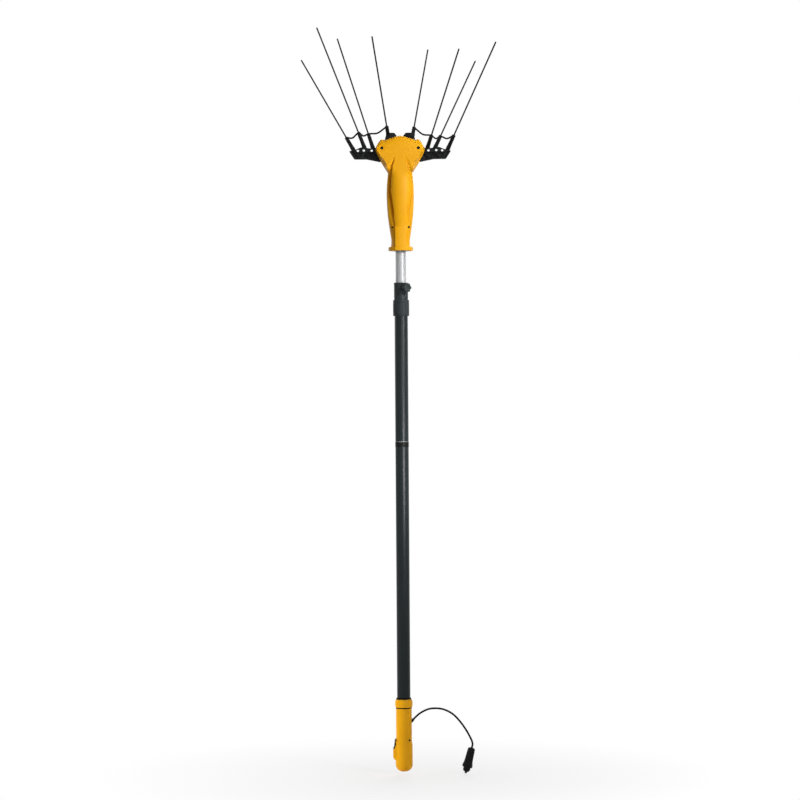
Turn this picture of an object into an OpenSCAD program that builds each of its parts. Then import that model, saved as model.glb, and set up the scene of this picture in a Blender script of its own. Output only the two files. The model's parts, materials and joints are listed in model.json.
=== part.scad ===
// Electric olive harvester: hand grip, telescopic pole, driven head with two rocking combs and a short lead.
// The pole lies along +Z, the front faces -Y and the origin is the middle of the hand grip.

/* [Pole] */
// Radius of the inner tube
inner_tube_r = 15; // [13:0.5:17]
// Wall of both tubes
tube_wall = 1.5; // [1:0.1:2]
// Gap between the inner tube and the bore of the outer tube
tube_gap = 2.5; // [2:0.1:4]
// Length of the outer tube
outer_tube_len = 1186; // [900:1:1500]
// Height of the inner tube's lower end above that of the outer tube
tube_end_gap = 278; // [150:1:400]
// Bare length of inner tube between the clamp and the head
tube_show = 91; // [86:1:160]
// Length of the guide bush on the inner tube
bush_len = 40; // [20:1:60]
// Height of the dark band on the outer tube
band_h = 14; // [6:1:30]
// Height of the band above the lower end of the outer tube
band_up = 772; // [400:1:850]

/* [Clamp] */
// Wall of the sleeve on the outer tube
sleeve_wall = 4; // [3:0.1:6]
// Length of outer tube inside the sleeve
sleeve_grip = 40; // [25:1:60]
// Thickness of the cap over the end of the outer tube
sleeve_cap = 6; // [3:0.5:10]
// Wall of the jaw round the inner tube
jaw_wall = 4.6; // [4:0.1:6]
// Height of the jaw
jaw_h = 49; // [40:1:60]
// Radius of the clamp knob over its lobes
knob_r = 13.5; // [11:0.5:16]
// Thickness of the clamp knob
knob_h = 12; // [8:0.5:16]
// Radius of the clamp stud
stud_r = 3; // [2.5:0.1:4]
// Turn of the clamp knob to the right of the front
knob_turn = 30; // [0:1:60]

/* [Hand grip] */
// Wall of the grip round the outer tube
grip_wall = 3.45; // [3:0.05:5]
// Length of the grip below its middle
grip_below = 103; // [95:1:125]
// Length of the grip from its middle up to the collar
grip_above = 80; // [76:1:110]
// Swell of the heel past the grip
heel_swell = 1.8; // [0.5:0.1:4]
// Radius of the rounded heel
heel_round = 20; // [12:0.5:22]
// Stand-out of the trigger guard from the grip
guard_out = 9; // [8:0.1:12]
// Width of the trigger guard
guard_w = 26; // [24:0.5:30]
// Depth of the outer tube inside the grip
tube_seat = 28; // [20:1:32]
// Wall of the spigots inside the collar
spigot_wall = 2.4; // [2:0.1:3]
// Height of the collar ring
collar_h = 23; // [18:1:30]
// Wall of the collar ring
collar_wall = 3.7; // [3:0.1:5]
// Height of the gasket that shows above the collar
gasket_show = 5; // [1:0.5:6]
// Radius of the trigger pin
trigger_pin_r = 2; // [1.5:0.1:2.5]
// Radius of the wire of the trigger spring
spring_wire_r = 0.5; // [0.4:0.05:0.6]
// Width of the control board
board_w = 26; // [20:1:28]
// Height of the control board
board_h = 62; // [40:1:64]
// Thickness of the control board
board_t = 1.6; // [1:0.1:2]
// Height of the lead's exit above the middle of the grip
exit_up = 41; // [36:0.5:42]
// Radius of the cable grommet
grommet_r = 4.5; // [4:0.1:5]

/* [Plug] */
// Diameter of the lead
cord_d = 5.5; // [4:0.1:6]
// Length of the plug's body
plug_len = 58; // [40:1:70]
// Radius of the plug's body at its shoulder
plug_r = 10.6; // [10:0.1:14]
// Radius of the plug's bulge
plug_bulge_r = 14.8; // [14:0.1:18]
// Radius of the plug's nose
nose_r = 10.4; // [9:0.1:11]
// Length of the plug's nose
nose_len = 13; // [12:0.5:24]
// Length of the tip contact that stands out of the nose
tip_len = 5; // [3:0.5:8]

/* [Head] */
// Height of the head shells at the ears
head_h = 318; // [310:1:340]
// Half of the width over the ears
ear_half = 70; // [68:0.5:76]
// Half of the depth of the head shells
head_half_d = 39; // [38:0.5:44]
// Wall of the head shells
head_wall = 2.5; // [2:0.1:2.8]
// Rise of the apex over the ears
apex_rise = 12; // [6:0.5:18]
// Half of the distance between the comb pivots
pivot_half = 52; // [50:0.5:54]
// Depth of the comb pivots below the top of the ears
pivot_drop = 27; // [24:0.5:30]
// Width of the slot for the combs
slot_w = 25; // [24:0.5:28]
// Wall of the socket round the inner tube
socket_wall = 8.5; // [7:0.1:8.6]
// Depth of the inner tube inside the socket
socket_depth = 44; // [30:1:50]
// Height of the thick part of the socket
socket_h = 60; // [56:1:61]

/* [Drive] */
// Radius of the motor can
motor_r = 24.5; // [22:0.5:26]
// Length of the motor can
motor_len = 74; // [60:1:76]
// Wall of the motor can
motor_wall = 2; // [1.5:0.1:3]
// Radius of the motor shaft
motor_shaft_r = 2.5; // [2:0.1:2.8]
// Module of the planetary gears
gear_module = 0.9; // [0.85:0.01:0.95]
// Height of the ring gear
ring_h = 32; // [30:0.5:34]
// Wall of the ring gear behind its teeth
ring_wall = 4; // [3:0.1:6]
// Width of the planet gears
planet_h = 14; // [8:0.5:16]
// Radius of the planet pins
planet_pin_r = 2; // [1.5:0.1:2.5]
// Radius of the eccentric shaft
drive_shaft_r = 4; // [3.5:0.1:5]
// Eccentricity of the drive
throw = 2.7; // [2:0.1:3]
// Radius of the eccentric
eccentric_r = 5; // [4:0.1:5.5]
// Wall of the eccentric bearing
bearing_wall = 2; // [1.5:0.1:2.5]
// Height of the drive slider
slider_h = 11; // [8:0.5:12]
// Radius of the guide rods
rod_r = 2; // [1.5:0.1:2.5]
// Radius of the slider pin
slider_pin_r = 2.5; // [2:0.1:3]
// Thickness of the head frame's plates
frame_t = 4; // [3:0.1:5]
// Radius of the pivot shafts
pivot_r = 4; // [3.5:0.1:4.5]
// Radius of the rocker hubs
hub_r = 11; // [10:0.1:12]

/* [Combs] */
// Reach of a comb's bar from its pivot
arm_reach = 93.6; // [86:0.1:105]
// Height of a comb's bar, from the pivot's level down to its lower edge
arm_drop = 37.4; // [36:0.1:40]
// Rise of a comb's inner wedge above its pivot
wedge_rise = 46; // [42:0.5:52]
// Thickness of a comb's bar
palm_t = 16; // [14:0.5:18]
// Radius of a tine
tine_r = 2.25; // [1.5:0.05:3]
// Length of a tine outside its socket
tine_show = 332; // [200:1:450]
// Depth of a tine in its socket
tine_seat = 24; // [15:1:28]
// Length of a tine socket
socket_len = 36; // [32:1:45]
// Wall of a tine socket at its top
socket_top_wall = 2.7; // [2:0.1:4]
// Taper of a tine socket from base to top
socket_taper = 1.5; // [0.5:0.1:2.5]
// Thickness of the link band
link_d = 5; // [4:0.1:6]

/* [Fits] */
// Gap at fixed fits and running fits
fit = 0.05; // [0.02:0.01:0.08]
// Gap between faces that move past each other
run_gap = 0.3; // [0.2:0.05:0.4]
// Gap that lets a part swing clear
swing_gap = 1.8; // [1.2:0.1:2.5]

/* [Hidden] */
$fn = 64;
eps = 0.01;
overrun = 5;

// Levels along the pole
outer_tube_r = inner_tube_r + tube_gap + tube_wall;
outer_bore_r = outer_tube_r - tube_wall;
grip_bore_r = outer_tube_r + fit;
grip_r = grip_bore_r + grip_wall;
heel_r = grip_r + heel_swell;
outer_z = grip_above - tube_seat;
outer_top_z = outer_z + outer_tube_len;
sleeve_z = outer_top_z - sleeve_grip;
jaw_z = outer_top_z + sleeve_cap;
head_z = jaw_z + jaw_h + tube_show;
inner_z = outer_z + tube_end_gap;
slide_bore_r = inner_tube_r + run_gap;
sleeve_r = outer_tube_r + fit + sleeve_wall;
jaw_r = slide_bore_r + jaw_wall;

// Lead: its route, chosen by hand, from the grommet to the plug
CORD_ROUTE = [
  [28, 0, 46.5], [33, 0, 51.5], [40, 0, 58], [48, 0, 64], [57, 0, 69], [66, 0, 73], [75, 0, 75.5],
  [84, 0, 76.5], [94, 0, 76.5], [104, 0, 75.5], [113, 0, 73.5], [122, 0, 70], [131, 0, 65.5],
  [140, 0, 59.5], [149, 0, 51.5], [157, 0, 42.5], [165, 0, 32.5], [173, 0, 21], [180, 0, 10],
  [186, 0, -1], [191, 0, -11], [194.5, 0, -20], [195.5, 0, -28], [193.5, 0, -36]
];
cord_sides = 10;
plug_at = CORD_ROUTE[len(CORD_ROUTE) - 1];
plug_way = plug_at - CORD_ROUTE[len(CORD_ROUTE) - 2];
plug_turn = atan2(plug_way[0], plug_way[2]);
plug_bulge_shares = [0.7, 0.9, 0.97];
plug_waist_share = 0.44;
plug_shoulder = 4;
plug_mouth_r = 5.5;
plug_swell = 0.7;
nose_round = 4;
tip_r = 3.6;
contact_w = 5;
contact_t = 1;
contact_len = 7;

// Hand grip
heel_step = 15;
heel_top_share = 0.28;
heel_end_share = 0.12;
grip_groove = 3;
spigot_r = grip_bore_r + spigot_wall;
collar_bore_r = spigot_r + fit;
collar_r = collar_bore_r + collar_wall;
collar_bevel = 1.6;
collar_swell_share = 0.48;
spigot_short = 7;
spigot_h = collar_h - spigot_short;
gasket_gap = 0.2;
gasket_z = grip_above + spigot_h + gasket_gap;
gasket_top_z = grip_above + collar_h + gasket_show;
guard_top_share = 0.1;
guard_lip_share = 0.125;
guard_toe_share = 0.39;
guard_low_share = 0.61;
guard_end_share = 0.7;
guard_tuck = 0.5;
// Finger notch in the guard's walls: shares of the guard's reach and of the grip's lower length
NOTCH_SHARES = [[1.33, 0.113], [0.806, 0.128], [0.711, 0.228], [0.883, 0.365], [1.33, 0.373]];
guard_half = guard_w / 2;
guard_in = guard_half - grip_wall;
guard_x = -(grip_r + guard_out);
trigger_inset = 1;
trigger_x = -(grip_r - trigger_inset);
trigger_down_share = 0.136;
trigger_z = -grip_below * trigger_down_share;
trigger_hub_wall = 3;
trigger_hub_r = trigger_pin_r + trigger_hub_wall;
trigger_side_gap = 0.6;
trigger_half = guard_in - trigger_side_gap;
trigger_brow = 4;
trigger_in = 3.5;
trigger_toe_z = -grip_below * guard_toe_share + swing_gap;
trigger_fork_half = 4;
spring_turns = 4;
spring_step = 1.6;
spring_clear = 0.7;
spring_coil_r = trigger_pin_r + spring_wire_r + spring_clear;
spring_sides = 6;
spring_rings = 8;
board_y = 5;
board_up = 20;
board_z = -grip_below + board_up;
board_post_r = 2.5;
board_post_in_share = 0.36;
switch_w = 12;
switch_h = 20;
switch_t = 6.2;
switch_drop = 7;
screw_r = 1.6;
screw_head_r = 3.1;
screw_head_h = 2.4;
screw_boss_r = 4.4;
screw_bite = 10;
grip_screw_in = 8;
// Grip screws: shares of the grip's radius and lower length, then the side of the head, -1 for the front
GRIP_SCREWS_SHARES = [[0.71, -0.126, -1], [-0.62, 0.31, 1], [0.1, -0.86, 1]];
grommet_out = 5.5;
grommet_flange_r = 5.5;
grommet_flange_h = 2.5;
grommet_in = 11.5;
exit_lean = 45;

// Clamp
knob_gap = 0.5;
knob_lobes = 6;
knob_lobe_share = 0.3;
knob_lobe_r = knob_r * knob_lobe_share;
knob_hub_share = 0.8;
knob_hub_r = knob_r * knob_hub_share;
knob_up_share = 0.69;
knob_up = jaw_z + jaw_h * knob_up_share;
knob_boss_wall = 5;
knob_boss_r = stud_r + knob_boss_wall;
knob_boss_out = 6;
knob_seat_r = jaw_r + knob_boss_out + knob_gap;
stud_in = 5;
jaw_slot_w = 5;
jaw_slot_h = 14;
jaw_slot_deep = 2;
JAW_SLOT_TURNS = [-30, 20];
sleeve_bevel = 2;
ridge_h = 4;
ridge_out = 0.8;
band_t = 0.4;

// Head shells: each row has shares of the height, of the half width and of the half depth, then its roundness
HEAD_ROWS_SHARES = [
  [0, 0.5, 0.897, 2], [0.031, 0.5, 0.897, 2], [0.043, 0.39, 0.7, 2], [0.1, 0.38, 0.682, 2],
  [0.189, 0.443, 0.795, 2], [0.258, 0.487, 0.87, 2], [0.324, 0.523, 0.93, 2.05], [0.412, 0.549, 0.975, 2.1],
  [0.503, 0.56, 1, 2.15], [0.594, 0.547, 0.99, 2.2], [0.664, 0.517, 0.975, 2.3], [0.698, 0.51, 0.97, 2.4],
  [0.73, 0.586, 0.965, 2.6], [0.774, 0.707, 0.96, 2.9], [0.821, 0.834, 0.955, 3.2], [0.859, 0.93, 0.95, 3.2],
  [0.884, 0.986, 0.94, 3.2], [0.906, 1, 0.93, 3.2], [0.937, 0.97, 0.91, 3.2], [0.962, 0.915, 0.87, 3.2],
  [0.978, 0.87, 0.8, 3.2], [0.987, 0.845, 0.7, 3.2], [0.994, 0.83, 0.5, 3.2], [1, 0.825, 0, 3.2]
];
HEAD_EDGE_SHARES = [[0, 1], [0.15, 0.86], [0.75, -0.04], [0.9, 0.17], [1, 0]];
head_edge_from_share = 0.8;
head_lid_from_share = 0.9;
head_lid_to_share = 0.96;
head_foot_rows = 2;
head_columns = 20;
slot_foot_share = 0.71;
pivot_z = head_z + head_h - pivot_drop;
ear_seat_y = 27;
ear_boss_end = 29;
ear_boss_r = 6.4;
ear_head_r = 4.4;
low_screw_up = 66.6;
low_screw_z = head_z + low_screw_up;
low_screw_x = 23.5;
low_screw_seat = 10;
low_boss_end = 14;
low_boss_r = 4.6;
low_head_r = 3.2;

// Drive train levels, from the socket up
socket_r = inner_tube_r + socket_wall;
socket_foot = 2;
socket_neck_r = 17.6;
socket_neck_h = 10;
lead_hole_r = 6;
motor_z = head_z + socket_foot + socket_h + socket_neck_h;
motor_top_z = motor_z + motor_len;
ring_z = motor_top_z;
frame_z = ring_z + ring_h;
rotor_gap = 1;
rotor_r = motor_r - motor_wall - rotor_gap;
rotor_end = 8;
rotor_tail = 6;
sun_teeth = 12;
planet_teeth = 18;
ring_teeth = sun_teeth + 2 * planet_teeth;
planets = 3;
pressure_angle = 25;
addendum_share = 0.75;
dedendum_share = 1;
gear_slack = 0.2;
flank_steps = 4;
orbit_r = gear_module * (sun_teeth + planet_teeth) / 2;
ring_r = gear_module * ring_teeth / 2 + ring_wall;
carrier_t = 4.5;
carrier_gap = 1;
carrier_z = frame_z - carrier_t - carrier_gap;
planet_gap = 1.5;
planet_z = carrier_z - planet_gap - planet_h;
carrier_rim = 3;
carrier_r = orbit_r + planet_pin_r + carrier_rim;
sun_h = planet_h;
base_t = 9;
base_rim = 2;
base_r = ring_r + base_rim;
bearing_r = 9;
bearing_h = 8;
bearing_z = frame_z + base_t - bearing_h;
slider_down = 48;
slider_z = pivot_z - slider_down;
slider_mid_z = slider_z + slider_h / 2;
yoke_bearing_r = eccentric_r + bearing_wall;
window_play = [2.5, 0.5];
window_x = yoke_bearing_r + 2 * throw + window_play[0];
window_y = yoke_bearing_r + throw + window_play[1];
rod_clear = 0.8;
rod_y = window_y + rod_r + rod_clear;
yoke_rim = [5, 1];
yoke_x = window_x + yoke_rim[0];
yoke_y = rod_y + rod_r + yoke_rim[1];
cheek_gap = 0.5;
cheek_y = yoke_y + cheek_gap;
wall_gap = 7;
wall_x = yoke_x + wall_gap;
wall_drop = 5;
wall_dip = 1;
cheek_foot_share = 0.7;
cheek_waist_share = 0.85;
cheek_waist_up_share = 0.437;
cheek_ear_down = 10;
cheek_ear_up = 6;
cheek_rim = 2.5;
eccentric_gap = 0.7;

// Rockers: the drive lever and the gear sectors
lever_in = 7;
lever_down = 27;
lever_x = pivot_half - lever_in;
lever_z = pivot_z - lever_down;
lever_y = [-10, -3];
lever_wall = 3;
lever_slack = 0.3;
lever_slot_half = 3.5;
sector_y = [2, 10];
sector_teeth = 52;
sector_module = 2 * pivot_half / sector_teeth;
left_sector_teeth = [-2, -1, 0, 1, 2];
right_sector_teeth = [-1.5, -0.5, 0.5, 1.5];
hub_half = 11;
bush_gap = 0.2;
bush_wall = 3;
bush_r = pivot_r + bush_wall;
arm_y = [-2.5, 1.5];
arm_in = 5;
arm_end = 4;
arm_up = 5;
TONGUE_SHARES = [[0, -0.22], [0.13, -0.27], [0.42, -0.33], [0.42, -0.64], [0.07, -0.6], [0, -0.28]];
tongue_t = 6;

// Palm outline out and up from the pivot, in shares of the reach and of the drop or the wedge's rise
PALM_LOW_SHARES = [[0.14, -0.16], [0.03, -1], [0.47, -0.775], [0.84, -0.775], [1, -0.16], [0.81, -0.05]];
PALM_TOP_SHARES = [
  [0.636, 0.11], [0.42, 0.05], [0.214, 0.02], [0.085, 0.33], [-0.085, 0.54], [-0.15, 1], [-0.385, 1],
  [-0.48, 0.74], [-0.427, 0.44], [-0.085, 0.35], [0.06, 0.23]
];
PALM_HOLES_SHARES = [[0.73, -0.12], [0.55, -0.1], [0.31, -0.12]];
palm_hole_r = 3.5;
// Tine feet from the pivot in the same shares, spread and lean in degrees, share of the socket's length
LEFT_TINES_SHARES = [
  [0.865, -0.05, -28.8, 29.7, 1], [0.524, 0.07, -21.5, -8, 1], [0.267, 0.04, -17.3, 19.6, 1],
  [-0.198, 0.826, -9.5, -43.3, 0.58]
];
RIGHT_TINES_SHARES = [
  [0.897, -0.05, 25.3, -32.1, 1], [0.513, 0.06, 24.2, 35.4, 1], [0.278, 0.04, 19, -43.6, 1],
  [-0.171, 0.804, 9.9, 38, 0.58]
];
tine_foot_sink = 8;
link_seat_share = 0.88;
link_collar_h = 13;
link_collar_wall = 3.2;
link_dip = 7;
link_steps = 6;
link_sides = 8;

// Shared shapes
module ring(outer, inner, h) {
  difference() {
    cylinder(r = outer, h = h);
    translate([0, 0, -overrun]) cylinder(r = inner, h = h + 2 * overrun);
  }
}

module y_cylinder(x, z, r, y0, y1) {
  translate([x, y0, z]) rotate([-90, 0, 0]) cylinder(r = r, h = y1 - y0);
}

module x_cylinder(y, z, r, x0, x1) {
  translate([x0, y, z]) rotate([0, 90, 0]) cylinder(r = r, h = x1 - x0);
}

module y_plate(points, y0, y1) {
  translate([0, y1, 0]) rotate([90, 0, 0]) linear_extrude(y1 - y0) polygon(points);
}

module span(low, high) {
  translate(low) cube(high - low);
}

// Triangles of a tube of rings with capped ends
function tube_faces(rings, sides) = concat(
  [for (i = [0 : rings - 2], j = [0 : sides - 1], k = [0, 1])
    let (n = (j + 1) % sides, a = i * sides, b = a + sides)
    k == 0 ? [a + j, b + j, b + n] : [a + j, b + n, a + n]],
  [for (j = [1 : sides - 2]) [0, j, j + 1]],
  [for (j = [1 : sides - 2], a = (rings - 1) * sides) [a, a + j + 1, a + j]]
);
function heading(path, i) = let (v = path[min(i + 1, len(path) - 1)] - path[max(i - 1, 0)]) v / norm(v);
function sweep_points(path, r, sides, up) = [
  for (i = [0 : len(path) - 1], j = [0 : sides - 1])
    let (t = heading(path, i), c = cross(t, up), b = c / norm(c), n = cross(b, t), a = 360 * j / sides)
    path[i] + r * (cos(a) * n + sin(a) * b)
];

// Gear outlines
function involute(a) = tan(a) * 180 / PI - a;
function tooth_half(teeth, m, slack, r) =
  let (pitch = teeth * m / 2, base = pitch * cos(pressure_angle), at = max(r, base))
  90 / teeth - slack / pitch * 90 / PI + involute(pressure_angle) - involute(acos(base / at));
function tooth_points(teeth, m, slack, low, high, turn) = [
  for (side = [-1, 1], k = [0 : flank_steps])
    let (step = side < 0 ? k : flank_steps - k, r = low + (high - low) * step / flank_steps)
    let (a = turn + side * tooth_half(teeth, m, slack, r))
    [r * cos(a), r * sin(a)]
];
function gear_points(teeth, m, slack, low, high, turn) = [
  for (i = [0 : teeth - 1]) each tooth_points(teeth, m, slack, low, high, turn + 360 * i / teeth)
];

module spur_gear(teeth, turn, h, bore) {
  pitch = teeth * gear_module / 2;
  low = pitch - dedendum_share * gear_module;
  high = pitch + addendum_share * gear_module;
  difference() {
    linear_extrude(h) polygon(gear_points(teeth, gear_module, gear_slack, low, high, turn));
    translate([0, 0, -overrun]) cylinder(r = bore, h = h + 2 * overrun);
  }
}

// Hand grip
module grip_solid() {
  middle = [heel_r - heel_round, heel_round - grip_below];
  arc = [for (a = [-90 : heel_step : 0]) middle + heel_round * [cos(a), sin(a)]];
  rotate_extrude() polygon(concat(
    [[0, -grip_below]], arc,
    [[heel_r, -grip_below * heel_top_share], [grip_r, -grip_below * heel_end_share],
     [grip_r, grip_above - grip_groove], [spigot_r, grip_above - grip_groove],
     [spigot_r, grip_above + spigot_h], [0, grip_above + spigot_h]]
  ));
  y_plate(guard_points(0), -guard_half, guard_half);
}

function guard_points(inset) = [
  [0, -grip_below * guard_top_share - inset],
  [trigger_x - trigger_brow + inset, -grip_below * guard_lip_share - inset],
  [guard_x + inset, -grip_below * guard_toe_share],
  [guard_x + guard_tuck + inset, -grip_below * guard_low_share],
  [-grip_r + inset, -grip_below * guard_end_share + inset],
  [0, -grip_below * guard_end_share + inset]
];

module grip_hollow() {
  low_r = heel_r - grip_wall;
  round = heel_round - grip_wall;
  middle = [low_r - round, round + grip_wall - grip_below];
  arc = [for (a = [-90 : heel_step : 0]) middle + round * [cos(a), sin(a)]];
  rotate_extrude() polygon(concat(
    [[0, grip_wall - grip_below]], arc,
    [[low_r, -grip_below * heel_top_share], [grip_r - grip_wall, -grip_below * heel_end_share],
     [grip_r - grip_wall, outer_z - grip_wall], [outer_bore_r, outer_z - grip_wall], [outer_bore_r, outer_z],
     [grip_bore_r, outer_z], [grip_bore_r, grip_above + spigot_h + overrun],
     [0, grip_above + spigot_h + overrun]]
  ));
  y_plate(guard_points(grip_wall), -guard_in, guard_in);
  span([guard_x - overrun, -guard_in, -grip_below * guard_toe_share],
       [trigger_x + trigger_hub_r + run_gap, guard_in, trigger_z + trigger_hub_r + run_gap]);
}

module grip_screw(p, r, y0, y1) {
  mirror([0, p[2] < 0 ? 0 : 1, 0]) y_cylinder(p[0] * grip_r, p[1] * grip_below, r, y0, y1);
}

module grommet_axis() {
  translate([grip_r, 0, exit_up]) rotate([0, exit_lean, 0]) children();
}

module handle_shell(side) {
  far = 2 * heel_r * (side < 0 ? [-1, 0] : [0, 1]);
  difference() {
    intersection() {
      grip_solid();
      span([2 * guard_x, far[0], -2 * grip_below], [2 * heel_r, far[1], 2 * grip_above]);
      union() {
        difference() {
          span([2 * guard_x, -2 * heel_r, -2 * grip_below], [2 * heel_r, 2 * heel_r, 2 * grip_above]);
          grip_hollow();
        }
        for (p = GRIP_SCREWS_SHARES) {
          grip_screw(p, screw_boss_r, -2 * heel_r, 2 * heel_r);
        }
        if (side > 0) {
          for (a = [-1, 1], b = [-1, 1]) {
            x = a * board_w * board_post_in_share;
            z = board_z + board_h / 2 + b * board_h * board_post_in_share;
            y_cylinder(x, z, board_post_r, board_y + board_t, 2 * heel_r);
          }
        }
      }
    }
    for (p = GRIP_SCREWS_SHARES) {
      grip_screw(p, screw_r + fit, -2 * heel_r, screw_bite + fit);
      if (side == p[2]) grip_screw(p, screw_head_r + fit, -2 * heel_r, -grip_screw_in);
    }
    y_cylinder(trigger_x, trigger_z, trigger_pin_r + fit / 2, -guard_half - overrun, guard_half + overrun);
    y_plate([for (p = NOTCH_SHARES) [p[0] * guard_x, -p[1] * grip_below]], -grip_r, grip_r);
    grommet_axis() translate([0, 0, -grip_r]) cylinder(r = grommet_r + fit, h = 2 * grip_r);
  }
}

module handle_front_shell() {
  color("#E5A32B") handle_shell(-1);
}

module handle_rear_shell() {
  color("#E5A32B") handle_shell(1);
}

module handle_collar() {
  swell = collar_h * collar_swell_share;
  color("#E5A32B") translate([0, 0, grip_above]) rotate_extrude() polygon([
    [collar_bore_r, 0], [collar_r - collar_bevel, 0], [collar_r, swell], [collar_r - collar_bevel, collar_h],
    [collar_bore_r, collar_h]
  ]);
}

module handle_gasket() {
  color("#1C1C1C") translate([0, 0, gasket_z])
    ring(collar_bore_r - fit, grip_bore_r, gasket_top_z - gasket_z);
}

module handle_screws() {
  color("#2A2A2A") for (p = GRIP_SCREWS_SHARES) {
    grip_screw(p, screw_r, -grip_screw_in, screw_bite);
    grip_screw(p, screw_head_r, -grip_screw_in - screw_head_h, -grip_screw_in);
  }
}

module trigger() {
  color("#202020") difference() {
    union() {
      y_cylinder(trigger_x, trigger_z, trigger_hub_r, -trigger_half, trigger_half);
      y_plate([
        [trigger_x, trigger_z], [trigger_x - trigger_hub_r, trigger_z], [guard_x, trigger_toe_z],
        [trigger_x + trigger_in, trigger_toe_z + trigger_in], [trigger_x + trigger_in, trigger_z]
      ], -trigger_half, trigger_half);
    }
    y_cylinder(trigger_x, trigger_z, trigger_pin_r + fit, -guard_half, guard_half);
    y_cylinder(trigger_x, trigger_z, trigger_hub_r + fit, -trigger_fork_half, trigger_fork_half);
  }
}

module trigger_pin() {
  color("#B8B8B8") y_cylinder(trigger_x, trigger_z, trigger_pin_r, -guard_half + fit, guard_half - fit);
}

module trigger_spring() {
  steps = spring_turns * spring_rings;
  path = [
    for (i = [0 : steps])
      let (a = 360 * i / spring_rings, y = (i / spring_rings - spring_turns / 2) * spring_step)
      [trigger_x + spring_coil_r * cos(a), y, trigger_z + spring_coil_r * sin(a)]
  ];
  color("#B8B8B8") polyhedron(
    sweep_points(path, spring_wire_r, spring_sides, [0, 1, 0]), tube_faces(len(path), spring_sides)
  );
}

module control_board() {
  color("#2F6B3A") translate([-board_w / 2, board_y, board_z]) cube([board_w, board_t, board_h]);
}

module micro_switch() {
  top = board_z + board_h - switch_drop;
  x = trigger_x + trigger_in + swing_gap * 2;
  color("#303030") span([x, board_y - switch_t, top - switch_h], [x + switch_w, board_y, top]);
}

module cable_grommet() {
  color("#1C1C1C") grommet_axis() {
    translate([0, 0, -grommet_in]) cylinder(r = grommet_r, h = grommet_in + grommet_out / cos(exit_lean));
    translate([0, 0, -grommet_in - grommet_flange_h]) cylinder(r = grommet_flange_r, h = grommet_flange_h);
  }
}

// Lead and plug
module power_cord() {
  color("#161616") polyhedron(
    sweep_points(CORD_ROUTE, cord_d / 2, cord_sides, [0, 1, 0]), tube_faces(len(CORD_ROUTE), cord_sides)
  );
}

module on_plug(s) {
  translate(plug_at) rotate([0, plug_turn, 0]) translate([0, 0, s]) children();
}

module plug_body() {
  bulge = plug_len * plug_bulge_shares;
  color("#181818") on_plug(0) rotate_extrude() polygon([
    [0, 0], [plug_mouth_r, 0], [plug_r, plug_shoulder], [plug_r + plug_swell, plug_len * plug_waist_share],
    [plug_r + 2 * plug_swell, bulge[0]], [plug_bulge_r, bulge[1]], [plug_bulge_r, bulge[2]],
    [nose_r, plug_len], [0, plug_len]
  ]);
}

module contact_places() {
  for (a = [0, 180]) rotate([0, 0, a]) children();
}

module plug_nose() {
  color("#181818") on_plug(plug_len) difference() {
    rotate_extrude() polygon([
      [0, 0], [nose_r, 0], [nose_r, nose_len - nose_round], [nose_r - nose_round, nose_len], [0, nose_len]
    ]);
    contact_places() translate([0, 0, -overrun])
      span([nose_r - contact_t, -contact_w / 2 - fit, 0],
           [nose_r + overrun, contact_w / 2 + fit, overrun + contact_len]);
    translate([0, 0, nose_len - nose_round]) cylinder(r = tip_r + fit, h = nose_round + overrun);
  }
}

module plug_tip() {
  color("#C9A24A") on_plug(plug_len + nose_len) {
    translate([0, 0, -nose_round]) cylinder(r = tip_r, h = nose_round + tip_len / 2);
    translate([0, 0, tip_len / 2]) cylinder(r1 = tip_r, r2 = tip_r / 2, h = tip_len / 2);
  }
}

module plug_contacts() {
  color("#C9A24A") on_plug(plug_len) contact_places() intersection() {
    span([nose_r - contact_t, -contact_w / 2, 0], [nose_r, contact_w / 2, contact_len]);
    cylinder(r = nose_r, h = contact_len);
  }
}

// Pole
module outer_tube() {
  color("#33393B") translate([0, 0, outer_z]) ring(outer_tube_r, outer_bore_r, outer_tube_len);
}

module tube_band() {
  color("#121212") translate([0, 0, outer_z + band_up])
    ring(outer_tube_r + fit + band_t, outer_tube_r + fit, band_h);
}

module inner_tube() {
  color("#C4C7C8") translate([0, 0, inner_z])
    ring(inner_tube_r, inner_tube_r - tube_wall, head_z + socket_foot + socket_depth - inner_z);
}

module guide_bush() {
  color("#E8E8E4") translate([0, 0, inner_z]) ring(outer_bore_r - fit, inner_tube_r + fit / 2, bush_len);
}

module clamp_sleeve() {
  h = sleeve_grip + sleeve_cap;
  color("#343B3D") difference() {
    translate([0, 0, sleeve_z]) rotate_extrude() polygon([
      [0, 0], [sleeve_r - sleeve_bevel / 2, 0], [sleeve_r, sleeve_bevel], [sleeve_r, h - sleeve_bevel],
      [sleeve_r - sleeve_bevel, h], [0, h]
    ]);
    translate([0, 0, sleeve_z - overrun]) cylinder(r = outer_tube_r + fit, h = sleeve_grip + overrun);
    translate([0, 0, sleeve_z]) cylinder(r = slide_bore_r, h = h + overrun);
  }
}

module knob_axis(out) {
  translate([0, 0, knob_up]) rotate([0, 0, knob_turn]) rotate([90, 0, 0]) translate([0, 0, out]) children();
}

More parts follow.
